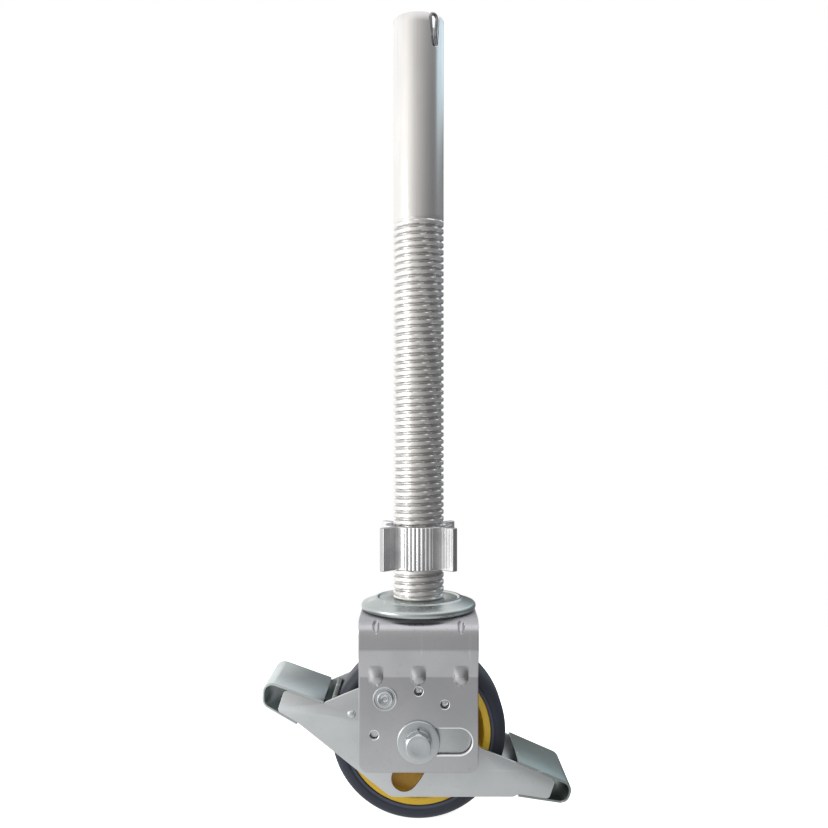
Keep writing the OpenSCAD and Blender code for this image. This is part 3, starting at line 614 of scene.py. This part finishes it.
rim = CAP_R - CAP_T / 2 + 0.35
flat = FOOT - CAP_T / 2
cap_path = [
    (KINGBOLT_R, flat),
    (BALLS_R - 0.3, flat),
    (BALLS_R + 0.9, flat + RIDGE_H),
    (BALLS_R + 1.9, flat + RIDGE_H),
    (BALLS_R + 3.0, flat - 0.2),
    (rim, flat - 3.4),
    (rim - 1.6, LIP_LOW + 0.3),
]
cap_section = sheet_outline(cap_path, [0, 0.4, 0.4, 0.5, 1.0, 1.6, 0], CAP_T, 0.5)
cap = turned("head_cap", cap_section, 160, closed=True)
cap_plate = zinc("cap_plate", screen(190, 196, 195), screen(171, 178, 177), 0.2, relief=0.5)
cap.data.materials.append(cap_plate)
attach(cap, "leg")
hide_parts("bearing_cap")


def bare_steel():
    """Turned or ground steel, greyer and a little oily, with fine rings of tool marks."""
    f = Finish(bpy.data.materials.new("bare_steel"))
    oil = f.noise(90, 4, 0.6)
    marks = f.noise(1500, 2, 0.5, stretch=(1, 1, 0.3))
    tone = f.mix(oil.ramp(0.35, 0.7), screen(178, 180, 183), screen(136, 138, 141))
    return f.shader(marks, 0.00002, Base_Color=tone, Metallic=1.0, Roughness=0.26 + 0.25 * oil)


def finished(node, material):
    """Gives a node that keeps its CAD form a new finish."""
    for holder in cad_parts[node].material_slots:
        holder.link = "OBJECT"
        holder.material = material


steel = bare_steel()
fastener = zinc("fastener_plate", screen(206, 210, 212), screen(190, 194, 197), 0.22, marks=0.2)
for node in ("upper_balls", "lower_balls", "bearing_balls", "bearing_outer_rings", "bearing_inner_rings",
             "leg_plug", "lower_cup", "swivel_sleeve", "hub_spacer"):
    finished(node, steel)
for node in ("kingbolt", "pivot_washer_front", "pivot_washer_rear", "slot_bush_front", "slot_bush_rear"):
    finished(node, fastener)


# The fork
# One plate of zinc-plated steel, folded over the wheel and pressed: ribs across the lower bend and small
# darts in the top bend. The axle's slot and the detent holes are punched through both sides, and their
# broken edges are painted near-white, partly burnished zinc and partly a painted highlight.
WHEEL_R = 62.5
AXLE = FLOOR + WHEEL_R
FORK_W = (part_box("fork")[1].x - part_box("fork")[0].x) / MM
FORK_T = 2.5
SIDE_OUT = 34.4
CROWN_OUT = 40.0
RISE = 85.0
SKIRT = 21.5
SKIRT_R = 7.0
TAPER_LOW, TAPER_TOP = 45.2, 64.8
RIB_PITCH = 29.5
PIVOT = np.array([-23.2, 30.0])
AXLE_TRAVEL = 27.0
SLOT_R = 9.15
LOCKED_HOLES = np.array([[0, 34.9], [18.2, 25.8]])
RELEASED_HOLE = np.array([-30.8, 4.7])
HOLE_R = 3.2
SHEET_GRAIN = (0.03, 1, 1)


def pressed(x, along):
    """How far the press moved the plate outwards, at x and at a length along the fold from a skirt's
    foot. A rib is a half round with a round foot below the lower bend, and sinks into the slope above it.
    A dart is a shallow oval bowl in the top bend."""
    bend_at = SKIRT + TAPER_LOW + 0.8
    rib_x = x - RIB_PITCH * np.clip(np.round(x / RIB_PITCH), -1, 1)
    rib_foot = np.maximum(bend_at - 1.0 - along, 0) / 6.2
    rib = np.clip(1 - (rib_x / 5.1) ** 2 - rib_foot**2, 0, 1) ** 0.8
    rib_top = np.clip(1 - (along - bend_at) / 8.0, 0, 1)
    dart = 1 - ((np.abs(x) - 29.3) / 2.3) ** 2 - ((along - 103.0) / 4.6) ** 2
    return 2.9 * rib * rib_top - 2.8 * np.sqrt(np.clip(dart, 0, 1))


def fork_plate():
    """The fold's middle line runs from the front skirt's foot over the crown to the rear one's. At each
    station of it the plate's section, a thin rounded oblong, lies along X and the line's normal, and
    narrows to the round corners at both feet. Stations and columns lie closer in the press marks."""
    half_t = FORK_T / 2
    half = [(SIDE_OUT - half_t, -SKIRT), (SIDE_OUT - half_t, TAPER_LOW),
            (CROWN_OUT - half_t, TAPER_TOP), (CROWN_OUT - half_t, RISE - half_t)]
    corners = np.array([(-y, z) for y, z in half] + half[::-1])
    fold = rounded(corners, [0, 4, 2.5, 9, 9, 2.5, 4, 0], steps=10)
    reach = np.concatenate([[0], np.cumsum(np.linalg.norm(np.diff(fold, axis=0), axis=1))])
    foot = SKIRT_R * (1 - np.cos(np.linspace(0, math.pi / 2, 12)))
    ribs, darts = np.arange(53, 82, 0.6), np.arange(97.5, 109, 0.5)
    skirt, slope, crown = np.arange(10, 52, 6), np.arange(83, 97, 1), np.arange(110, reach[-1] / 2, 6)
    side = np.unique(np.concatenate([[0.15, 0.5], foot, skirt, ribs, slope, darts, crown]))
    stations = np.concatenate([side, reach[-1] - side[::-1]])
    y, z = (np.interp(stations, reach, fold[:, i]) for i in (0, 1))
    normal = beside(fold, 1.0) - fold
    ny, nz = (np.interp(stations, reach, normal[:, i]) for i in (0, 1))

    from_foot = np.minimum(stations, reach[-1] - stations)
    drop = SKIRT_R - np.minimum(from_foot, SKIRT_R)
    lost = SKIRT_R - np.sqrt(np.maximum(SKIRT_R**2 - drop**2, 0))
    thin = np.clip(0.6 + from_foot, 0, 1)
    columns = np.concatenate([np.arange(-40, -36, 2), np.arange(-36, -23, 0.5), np.arange(-22, -6, 4),
                              np.arange(-6, 6.1, 0.5), np.arange(10, 23, 4), np.arange(23.5, 36.1, 0.5),
                              [38, 40]])
    width = FORK_W / 2
    square = np.array([(-1, -1), (1, -1), (1, 1), (-1, 1)])
    edges = np.split(rounded(square, [0.36] * 4, steps=4), 4)
    edges = [edge * half_t + (corner[0] * (width - half_t), 0) for edge, corner in zip(edges, square)]
    under = np.stack([columns, np.full(len(columns), -half_t)], -1)
    section = np.concatenate([edges[0], under, edges[1], edges[2], under[::-1] * (1, -1), edges[3]])

    x = section[:, 0] * (1 - lost[:, None] / width)
    press = pressed(x, from_foot[:, None])
    out = section[:, 1] * thin[:, None] - press * (np.abs(section[:, 0]) < width - 0.1)
    points = np.stack([x, y[:, None] - out * ny[:, None], AXLE + z[:, None] - out * nz[:, None]], -1)
    return solid("fork_plate", points, caps=True)


def slab(name, outline, levels):
    """An outline in the wheel's plane, measured from the axle, carried across the fork through levels of
    (how far it is drawn in, its station along Y)."""
    rows = [np.column_stack([drawn_in(outline, inset), np.full(len(outline), y)]) for inset, y in levels]
    return solid(name, np.array(rows)[:, :, [0, 2, 1]] + (0, 0, AXLE), caps=True)


def circle(centre, radius, steps=40):
    """Points of centre plus radius times (cos t, sin t)."""
    t = np.linspace(0, 2 * math.pi, steps, endpoint=False)
    return np.asarray(centre) + radius * np.stack([np.cos(t), np.sin(t)], -1)


slot_turn = np.linspace(math.pi / 2, 3 * math.pi / 2, 21)
slot_end = SLOT_R * np.stack([np.cos(slot_turn), np.sin(slot_turn)], -1)
slot = np.concatenate([slot_end, (AXLE_TRAVEL + 1, 0) - slot_end])


def punch(name, outline, edge):
    """A punch through both sides, wider at the outer faces, so that it breaks their edges."""
    levels = [(-edge - 0.8, -SIDE_OUT - 0.4), (0, edge / 2 - SIDE_OUT),
              (0, SIDE_OUT - edge / 2), (-edge - 0.8, SIDE_OUT + 0.4)]
    return slab(name, outline, levels)


punches = [punch("slot_punch", slot, 0.8)]
punches += [punch("hole_punch", circle(p, HOLE_R), 0.35) for p in (*LOCKED_HOLES, RELEASED_HOLE)]
crown_hole = [(0, 70), (9.8, 70), (9.8, 95), (0, 95)]
punches.append(turned("crown_punch", crown_hole, 48, centre=(0, 0, AXLE)))


def edge_burnish_and_highlight(f):
    """1 inside the broken edges of the axle's slot and of the detent holes, where burnished zinc and a
    painted highlight are shown, from the distance to the slot's middle line and to each hole's middle."""
    x, y, z = f.place()
    up = z - AXLE * MM
    half = (AXLE_TRAVEL + 1) / 2 * MM
    past = ((x - half).math("ABSOLUTE") - half).math("MAXIMUM", 0.0)
    away = (past * past + up * up) ** 0.5
    edge = 1 - away.ramp((SLOT_R + 0.75) * MM, (SLOT_R + 0.9) * MM)
    for hole_x, hole_z in (*LOCKED_HOLES.tolist(), RELEASED_HOLE.tolist()):
        side, rise = x - hole_x * MM, up - hole_z * MM
        away = (side * side + rise * rise) ** 0.5
        edge = edge.math("MAXIMUM", 1 - away.ramp((HOLE_R + 0.3) * MM, (HOLE_R + 0.45) * MM))
    return edge


def crown_dull(f):
    """1 on the crown's flat top and the upper end of its bends, from the height over the axle."""
    x, y, z = f.place()
    top = AXLE + RISE
    return z.ramp((top - 2.8) * MM, (top - 1.4) * MM)


fork = fork_plate()
joined(fork, "DIFFERENCE", *punches)
fork_plating = zinc("fork_plating", screen(197, 197, 200), screen(186, 187, 190), 0.2, SHEET_GRAIN,
                    relief=0.12, burnish_and_highlight=edge_burnish_and_highlight, dull=crown_dull)
fork.data.materials.append(fork_plating)
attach(fork, "fork")
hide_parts("fork")


# The rivets
# Turned steel, zinc-plated: each fixes the rocker to one side of the fork and is its pivot. The head is
# formed over a thin collar with a raised ring, and has a hollow in its middle.
def rivet(side):
    """From the outer head's hollow over its round rim and down its flank, out over the collar, then along
    the shank to the flat inner head behind the rocker plate."""
    head = [(0, 0.9), (1.2, 0.9), (1.8, 1.5), (2.4, 1.6), (2.9, 1.2), (3.5, 1.3),
            (4.1, 2.1), (4.8, 2.3), (5.5, 2.0), (5.9, 1.2), (6.1, 0.25)]
    collar = [(7.0, 0.25), (7.3, 0.75), (7.9, 0.95), (8.4, 0.75), (8.6, 0.2), (8.6, 0)]
    shank = [(4.0, 0), (4.0, -6.5), (6.4, -6.55), (6.4, -7.9), (6.0, -8.3), (0, -8.3)]
    profile = [(r, side * (SIDE_OUT + y)) for r, y in head + collar + shank]
    place = (PIVOT[0], 0, AXLE + PIVOT[1])
    return turned("rivet_front" if side < 0 else "rivet_rear", profile, 64, centre=place, lying=True)


rivet_plating = zinc("rivet_plating", screen(214, 217, 219), screen(200, 203, 206), 0.13,
                     marks=0.2, relief=0.4)
for side, node in ((-1, "pivot_rivet_front"), (1, "pivot_rivet_rear")):
    made = rivet(side)
    made.data.materials.append(rivet_plating)
    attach(made, "fork")
    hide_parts(node)


# The rocker's plates
# Two stamped plates inside the fork, joined by the pedals. Each has a cam slot that moves the axle, and
# three dimples that snap into the fork's holes.
LEVER_OUT, LEVER_IN = 30.4, 27.9
STRIP_T = 1.6
THROW = math.radians(46)
DIMPLE_R = 2.9
LEFT_NOTCH, LEFT_NOSE, LEFT_HEEL = (-66.3, 26.4), [(-108.2, 41.5), (-108.2, 24.8)], (-84.6, 11.2)
RIGHT_NOTCH, RIGHT_NOSE, RIGHT_HEEL = (68.9, -15.2), [(107.2, -31.8), (103, -43.8)], (69.6, -38.8)


def strip_seat(start, end, distance, side):
    """The point on a pedal strip's inner face, that distance along it from its start."""
    start, end = np.array(start), np.array(end)
    way = (end - start) / np.linalg.norm(end - start)
    return start + way * distance + np.array([-way[1], way[0]]) * side * STRIP_T / 2


def swung(points, angle, centre):
    """Points turned about a centre."""
    x, y = (points - centre).T
    cos, sin = np.cos(angle), np.sin(angle)
    return centre + np.stack([x * cos - y * sin, x * sin + y * cos], -1)


def cam_slot():
    """The axle's path as the turning rocker sees it, moved to both sides by the slot's radius, with a
    half round at each end."""
    part = np.linspace(0, 1, 25)
    path = swung(np.stack([AXLE_TRAVEL * part, 0 * part], -1), -THROW * part, PIVOT)
    turn = np.linspace(math.radians(75), math.radians(-75), 11)[:, None]

    def end(p, v):
        """An arc round p, from 75 degrees left of v's direction to 75 degrees right of it."""
        v = v / np.linalg.norm(v)
        return p + SLOT_R * (np.array([-v[1], v[0]]) * np.sin(turn) + v * np.cos(turn))

    return np.concatenate([beside(path, SLOT_R), end(path[-1], path[-1] - path[-2]),
                           beside(path, -SLOT_R)[::-1], end(path[0], path[0] - path[1])])


lever_outline = rounded(
    [
        strip_seat(LEFT_NOTCH, LEFT_NOSE[0], 0, 1),
        strip_seat(LEFT_NOTCH, LEFT_NOSE[0], 28.5, 1),
        strip_seat(LEFT_HEEL, LEFT_NOSE[1], 16.5, -1),
        strip_seat(LEFT_HEEL, LEFT_NOSE[1], 0, -1),
        (-19.5, -39.7),
        (66, -39.7),
        strip_seat(RIGHT_HEEL, RIGHT_NOSE[1], 0, 1),
        strip_seat(RIGHT_HEEL, RIGHT_NOSE[1], 21.5, 1),
        strip_seat(RIGHT_NOTCH, RIGHT_NOSE[0], 29.5, -1),
        strip_seat(RIGHT_NOTCH, RIGHT_NOSE[0], 0, -1),
        (42.8, -5.5),
        (26, 30),
        (-2, 42.6),
        (-26, 42.6),
    ],
    [1, 3, 3, 1, 8, 0, 0, 3, 3, 1, 6, 10, 8, 10],
)
released_dimple = swung(RELEASED_HOLE[None], -THROW, PIVOT)
dimples = np.concatenate([LOCKED_HOLES, released_dimple])


def lever_plate(name, side):
    """The stamped outline with softly rounded edges, less the cam slot, and with its dimples pressed out:
    each is a quarter of an ellipse turned round its own middle."""
    edge = 0.35
    inner, outer = side * LEVER_IN, side * LEVER_OUT
    levels = [(edge, inner), (0.1, inner + side * 0.1), (0, inner + side * edge),
              (0, outer - side * edge), (0.1, outer - side * 0.1), (edge, outer)]
    plate = slab(name, lever_outline, levels)
    joined(plate, "DIFFERENCE", slab("cam_punch", cam_slot(), [(0, -50), (0, 50)]))
    turn = np.linspace(0, math.pi / 2, 9)
    dome = np.stack([DIMPLE_R * np.cos(turn), 1.2 * np.sin(turn) - 0.1], -1)
    dome = np.concatenate([[(0, -0.6), (DIMPLE_R, -0.6)], dome])
    dome[:, 1] = side * (LEVER_OUT + dome[:, 1])
    domes = [turned("dome", dome, 40, centre=(x, 0, AXLE + z), lying=True) for x, z in dimples]
    joined(plate, "UNION", *domes)
    return plate


lever_plating = zinc("lever_plating", screen(208, 211, 213), screen(198, 201, 202), 0.22, SHEET_GRAIN,
                     relief=0.4)
for side, name in ((-1, "lever_plate_front"), (1, "lever_plate_rear")):
    made = lever_plate(name + "_sheet", side)
    made.data.materials.append(lever_plating)
    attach(made, "rocker")
    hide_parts(name)


# The pedals
# Each is one steel strip bent round its nose and welded over the tips of both plates, scratched by
# boots. The left one lets the brake go and the right one sets it.
STRIP_GRAIN = (1, 0.03, 1)


def pedal(name, notch, nose, heel):
    """The bent strip's outline carried from one plate's outer face to the other's, with round edges."""
    outline = sheet_outline([notch, nose[0], nose[1], heel], [0, 6, 6, 0], STRIP_T, 0.3)
    levels = [(0.3, -LEVER_OUT), (0.08, 0.08 - LEVER_OUT), (0, 0.3 - LEVER_OUT),
              (0, LEVER_OUT - 0.3), (0.08, LEVER_OUT - 0.08), (0.3, LEVER_OUT)]
    return slab(name, outline, levels)


# Painted light and shade: one plating in two copies, lighter for the left pedal on the lit side and darker
# for the right pedal and the shoe in shade
lit_pedal_plating = zinc("lit_left_pedal_plating", screen(216, 223, 223), screen(203, 211, 211), 0.26,
                    STRIP_GRAIN, marks=1.0)
shaded_pedal_plating = zinc("shaded_right_pedal_plating", screen(154, 163, 161), screen(136, 146, 143), 0.28,
                     STRIP_GRAIN, marks=0.9)
for made, node, plating in (
    (pedal("left_pedal", LEFT_NOTCH, LEFT_NOSE, LEFT_HEEL), "release_pedal", lit_pedal_plating),
    (pedal("right_pedal", RIGHT_NOTCH, RIGHT_NOSE, RIGHT_HEEL), "lock_pedal", shaded_pedal_plating),
):
    made.data.materials.append(plating)
    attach(made, "rocker")
    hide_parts(node)


# The brake shoe
# A thick steel strip bent to a pad and a lip, and welded between the rocker's plates. The right pedal
# presses its pad on the tread.
SHOE_ANGLE = math.radians(165)
SHOE_L = 22.0
SHOE_CLEAR = 0.3
shoe_out = np.array([math.cos(SHOE_ANGLE), math.sin(SHOE_ANGLE)])
shoe_way = np.array([-shoe_out[1], shoe_out[0]])
pad = shoe_out * (WHEEL_R + SHOE_CLEAR + STRIP_T)
shoe_path = [pad - shoe_way * SHOE_L / 2, pad + shoe_way * SHOE_L / 2,
             pad + shoe_way * (SHOE_L / 2 - 3) + shoe_out * 14]
shoe_levels = [(0.4, -LEVER_IN), (0, 0.4 - LEVER_IN), (0, LEVER_IN - 0.4), (0.4, LEVER_IN)]
shoe = slab("shoe", sheet_outline(shoe_path, [0, 4, 0], 2 * STRIP_T, 0.4), shoe_levels)
# Painted shade: the shoe carries the right pedal's darker copy of the plating
shoe.data.materials.append(shaded_pedal_plating)
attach(shoe, "rocker")
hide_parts("brake_shoe")


# The wheel
# A slate-blue rubber tyre is moulded round a yellow nylon core with a thin disc, a rim and a hub. The
# hub holds two ball bearings with a spacer between them.
TYRE_IN = 51.5
TYRE_HALF = 17.0
CORE_HALF = 15.5
GROOVE_HALF = CORE_HALF / 3
DISC_R, DISC_HALF = 45.0, 4.5
HUB_R, HUB_END = 21.0, 19.0
BEARING_R, BEARING_IN = 16.0, 9.0


def both_halves(half):
    """A section from its points on one side of the wheel's middle plane."""
    half = np.asarray(half, float)
    return np.concatenate([half, half[::-1] * (1, -1)])


def rubber():
    """Moulded rubber: faint flow marks, fine grit, and a painted highlight on the lip where it meets the
    core.
    """
    f = Finish(bpy.data.materials.new("tyre_rubber"))
    x, y, z = f.place()
    up = z - AXLE * MM
    radius = (x * x + up * up) ** 0.5
    cloud = f.noise(40, 4, 0.6)
    grit = f.noise(1800, 3, 0.7)
    lip_highlight = radius.ramp(TYRE_IN * MM, (TYRE_IN + 0.7) * MM)
    lip_highlight = lip_highlight * (1 - radius.ramp((TYRE_IN + 1.7) * MM, (TYRE_IN + 2.7) * MM))
    tone = f.mix(cloud.ramp(0.35, 0.7), screen(43, 47, 63), screen(38, 43, 54))
    # Painted highlight: a paler blue band on the lip
    tone = f.mix(lip_highlight * 0.5, tone, screen(92, 99, 122))
    return f.shader(grit + cloud, 0.00006, Base_Color=tone, Roughness=0.42 + 0.16 * cloud, Metallic=0.0)


def nylon():
    """Moulded nylon, yellow all through, with faint flow clouds, small pits and painted brown shade on the
    recessed disc.
    """
    f = Finish(bpy.data.materials.new("core_nylon"))
    x, y, z = f.place()
    up = z - AXLE * MM
    radius = (x * x + up * up) ** 0.5
    cloud = f.noise(30, 4, 0.6)
    pits = f.noise(1200, 3, 0.6)
    # Painted shade: the disc inside the rim is darker and browner
    disc_shade = 1 - radius.ramp((DISC_R - 1) * MM, (DISC_R + 1.2) * MM)
    disc_shade = disc_shade * (0.6 + 0.4 * cloud.ramp(0.3, 0.6))
    tone = f.mix(cloud.ramp(0.35, 0.7), screen(240, 203, 66), screen(233, 192, 54))
    tone = f.mix(disc_shade * 0.8, tone, screen(158, 112, 48))
    return f.shader(pits + cloud, 0.00005, Base_Color=tone, Roughness=0.38 + 0.15 * pits, Metallic=0.0)


tyre_half = [(TYRE_IN - 2, GROOVE_HALF), (TYRE_IN, GROOVE_HALF), (TYRE_IN, CORE_HALF),
             (TYRE_IN + 0.6, CORE_HALF + 0.9), (TYRE_IN + 2.2, TYRE_HALF - 0.4),
             (TYRE_IN + 3.4, TYRE_HALF), (WHEEL_R, TYRE_HALF)]
tyre_radii = [0, 0, 0, 0.4, 0.6, 1.0, 7.0]
tyre_section = rounded(both_halves(tyre_half), tyre_radii + tyre_radii[::-1], steps=8)
tyre = turned("tyre_surface", tyre_section, 160, centre=(0, 0, AXLE), lying=True, closed=True)
tyre.data.materials.append(rubber())
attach(tyre, "wheel")
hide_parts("tyre")

core_half = [(BEARING_R - 3, BEARING_IN), (BEARING_R, BEARING_IN), (BEARING_R, HUB_END), (HUB_R, HUB_END),
             (HUB_R + 1.5, DISC_HALF), (DISC_R, DISC_HALF), (DISC_R + 1.5, CORE_HALF),
             (TYRE_IN, CORE_HALF), (TYRE_IN, GROOVE_HALF), (TYRE_IN - 2, GROOVE_HALF)]
core_radii = [0, 0, 0.4, 1, 5, 5, 1, 0.5, 0, 0]
core_section = rounded(both_halves(core_half), core_radii + core_radii[::-1], steps=8)
core = turned("core_surface", core_section, 128, centre=(0, 0, AXLE), lying=True, closed=True)
core.data.materials.append(nylon())
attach(core, "wheel")
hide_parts("wheel_core")


# The axle
# A zinc-plated hexagon bolt through the hub, with a broad washer on each side, a split spring washer
# under its head and a lock nut behind. Its head is slightly dished.
HEAD_H = 7.5
BOLT_R = 6.0
FLATS = 8.5
BUSH_END = SIDE_OUT + 0.15
WASHER_END = BUSH_END + 2.0
WASHER_R = 15.0
SPRING_END = WASHER_END + 2.5
SPRING_R = 9.4


def hexagonal(name, rows, closed=False):
    """Rows of (hexagon's half width, cone's radius, station along Y). In each row the radius at angle t is
    the smaller of the cone's and the half width over cos of the angle from the nearest flat's middle."""
    t = np.linspace(0, 2 * math.pi, 120, endpoint=False)[None, :]
    flat = (t + math.pi / 6) % (math.pi / 3) - math.pi / 6
    size, cone, station = np.array(rows, float).T[:, :, None]
    radius = np.minimum(size / np.cos(flat), cone)
    x, z = radius * np.sin(t + math.pi / 6), radius * np.cos(t + math.pi / 6)
    return solid(name, np.stack([x, station + 0 * t, AXLE + z], -1), wrap=(closed, True))


front, seat = -SPRING_END - HEAD_H, -SPRING_END
tail = WASHER_END + 13
bolt_rows = [
    (0, 9, front + 0.5), (3.5, 3.5, front + 0.45), (5.5, 5.5, front + 0.1), (6.2, 6.2, front),
    (FLATS, 8.1, front), (FLATS, 8.6, front + 0.3), (FLATS, 9.3, front + 0.75), (FLATS, 10, front + 1.3),
    (FLATS, 10, seat - 0.5), (FLATS, 9.4, seat - 0.2), (FLATS, 8.4, seat), (BOLT_R, BOLT_R, seat),
    (BOLT_R, BOLT_R, tail - 3.2), (5.6, 5.6, tail - 2.8), (BOLT_R, BOLT_R, tail - 2.2),
    (5.6, 5.6, tail - 1.7), (5.6, 5.6, tail - 0.8), (4.8, 4.8, tail), (0, 9, tail),
]
nut_face, nut_back = WASHER_END, WASHER_END + 10
nut_rows = [
    (BOLT_R, BOLT_R, nut_face), (FLATS, 8.4, nut_face), (FLATS, 9.4, nut_face + 0.35),
    (FLATS, 10, nut_face + 0.8), (FLATS, 10, nut_face + 6.4), (FLATS, 9.3, nut_face + 7.1),
    (FLATS, 8.3, nut_face + 7.5), (7.9, 7.9, nut_face + 7.6), (7.9, 7.9, nut_back - 0.8),
    (7.3, 7.3, nut_back - 0.1), (BOLT_R, BOLT_R, nut_back),
]


def split_ring():
    """The spring washer's square section carried round the axle from one side of its split to the other."""
    t = np.linspace(math.radians(94), math.radians(446), 72)[:, None]
    section = [(BOLT_R, WASHER_END), (SPRING_R, WASHER_END), (SPRING_R, SPRING_END), (BOLT_R, SPRING_END)]
    radius, station = rounded(section, [0.4] * 4, steps=3).T
    points = np.stack([radius * np.cos(t), -station + 0 * t, AXLE + radius * np.sin(t)], -1)
    return solid("split_ring", points, caps=True)


def flat_washer(name, side):
    """A stamped ring: its section has a rounded outer edge on the side that the punch entered."""
    section = [(BOLT_R, BUSH_END), (WASHER_R, BUSH_END), (WASHER_R, WASHER_END), (BOLT_R, WASHER_END)]
    section = rounded(section, [0.1, 0.3, 0.9, 0.3], steps=5) * (1, side)
    return turned(name, section, 96, centre=(0, 0, AXLE), lying=True, closed=True)


for made, node in (
    (hexagonal("bolt", bolt_rows), "axle_bolt"),
    (hexagonal("lock_nut", nut_rows, closed=True), "axle_nut"),
    (split_ring(), "spring_washer"),
    (flat_washer("washer_front", -1), "axle_washer_front"),
    (flat_washer("washer_rear", 1), "axle_washer_rear"),
):
    made.data.materials.append(fastener)
    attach(made, "axle")
    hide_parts(node)
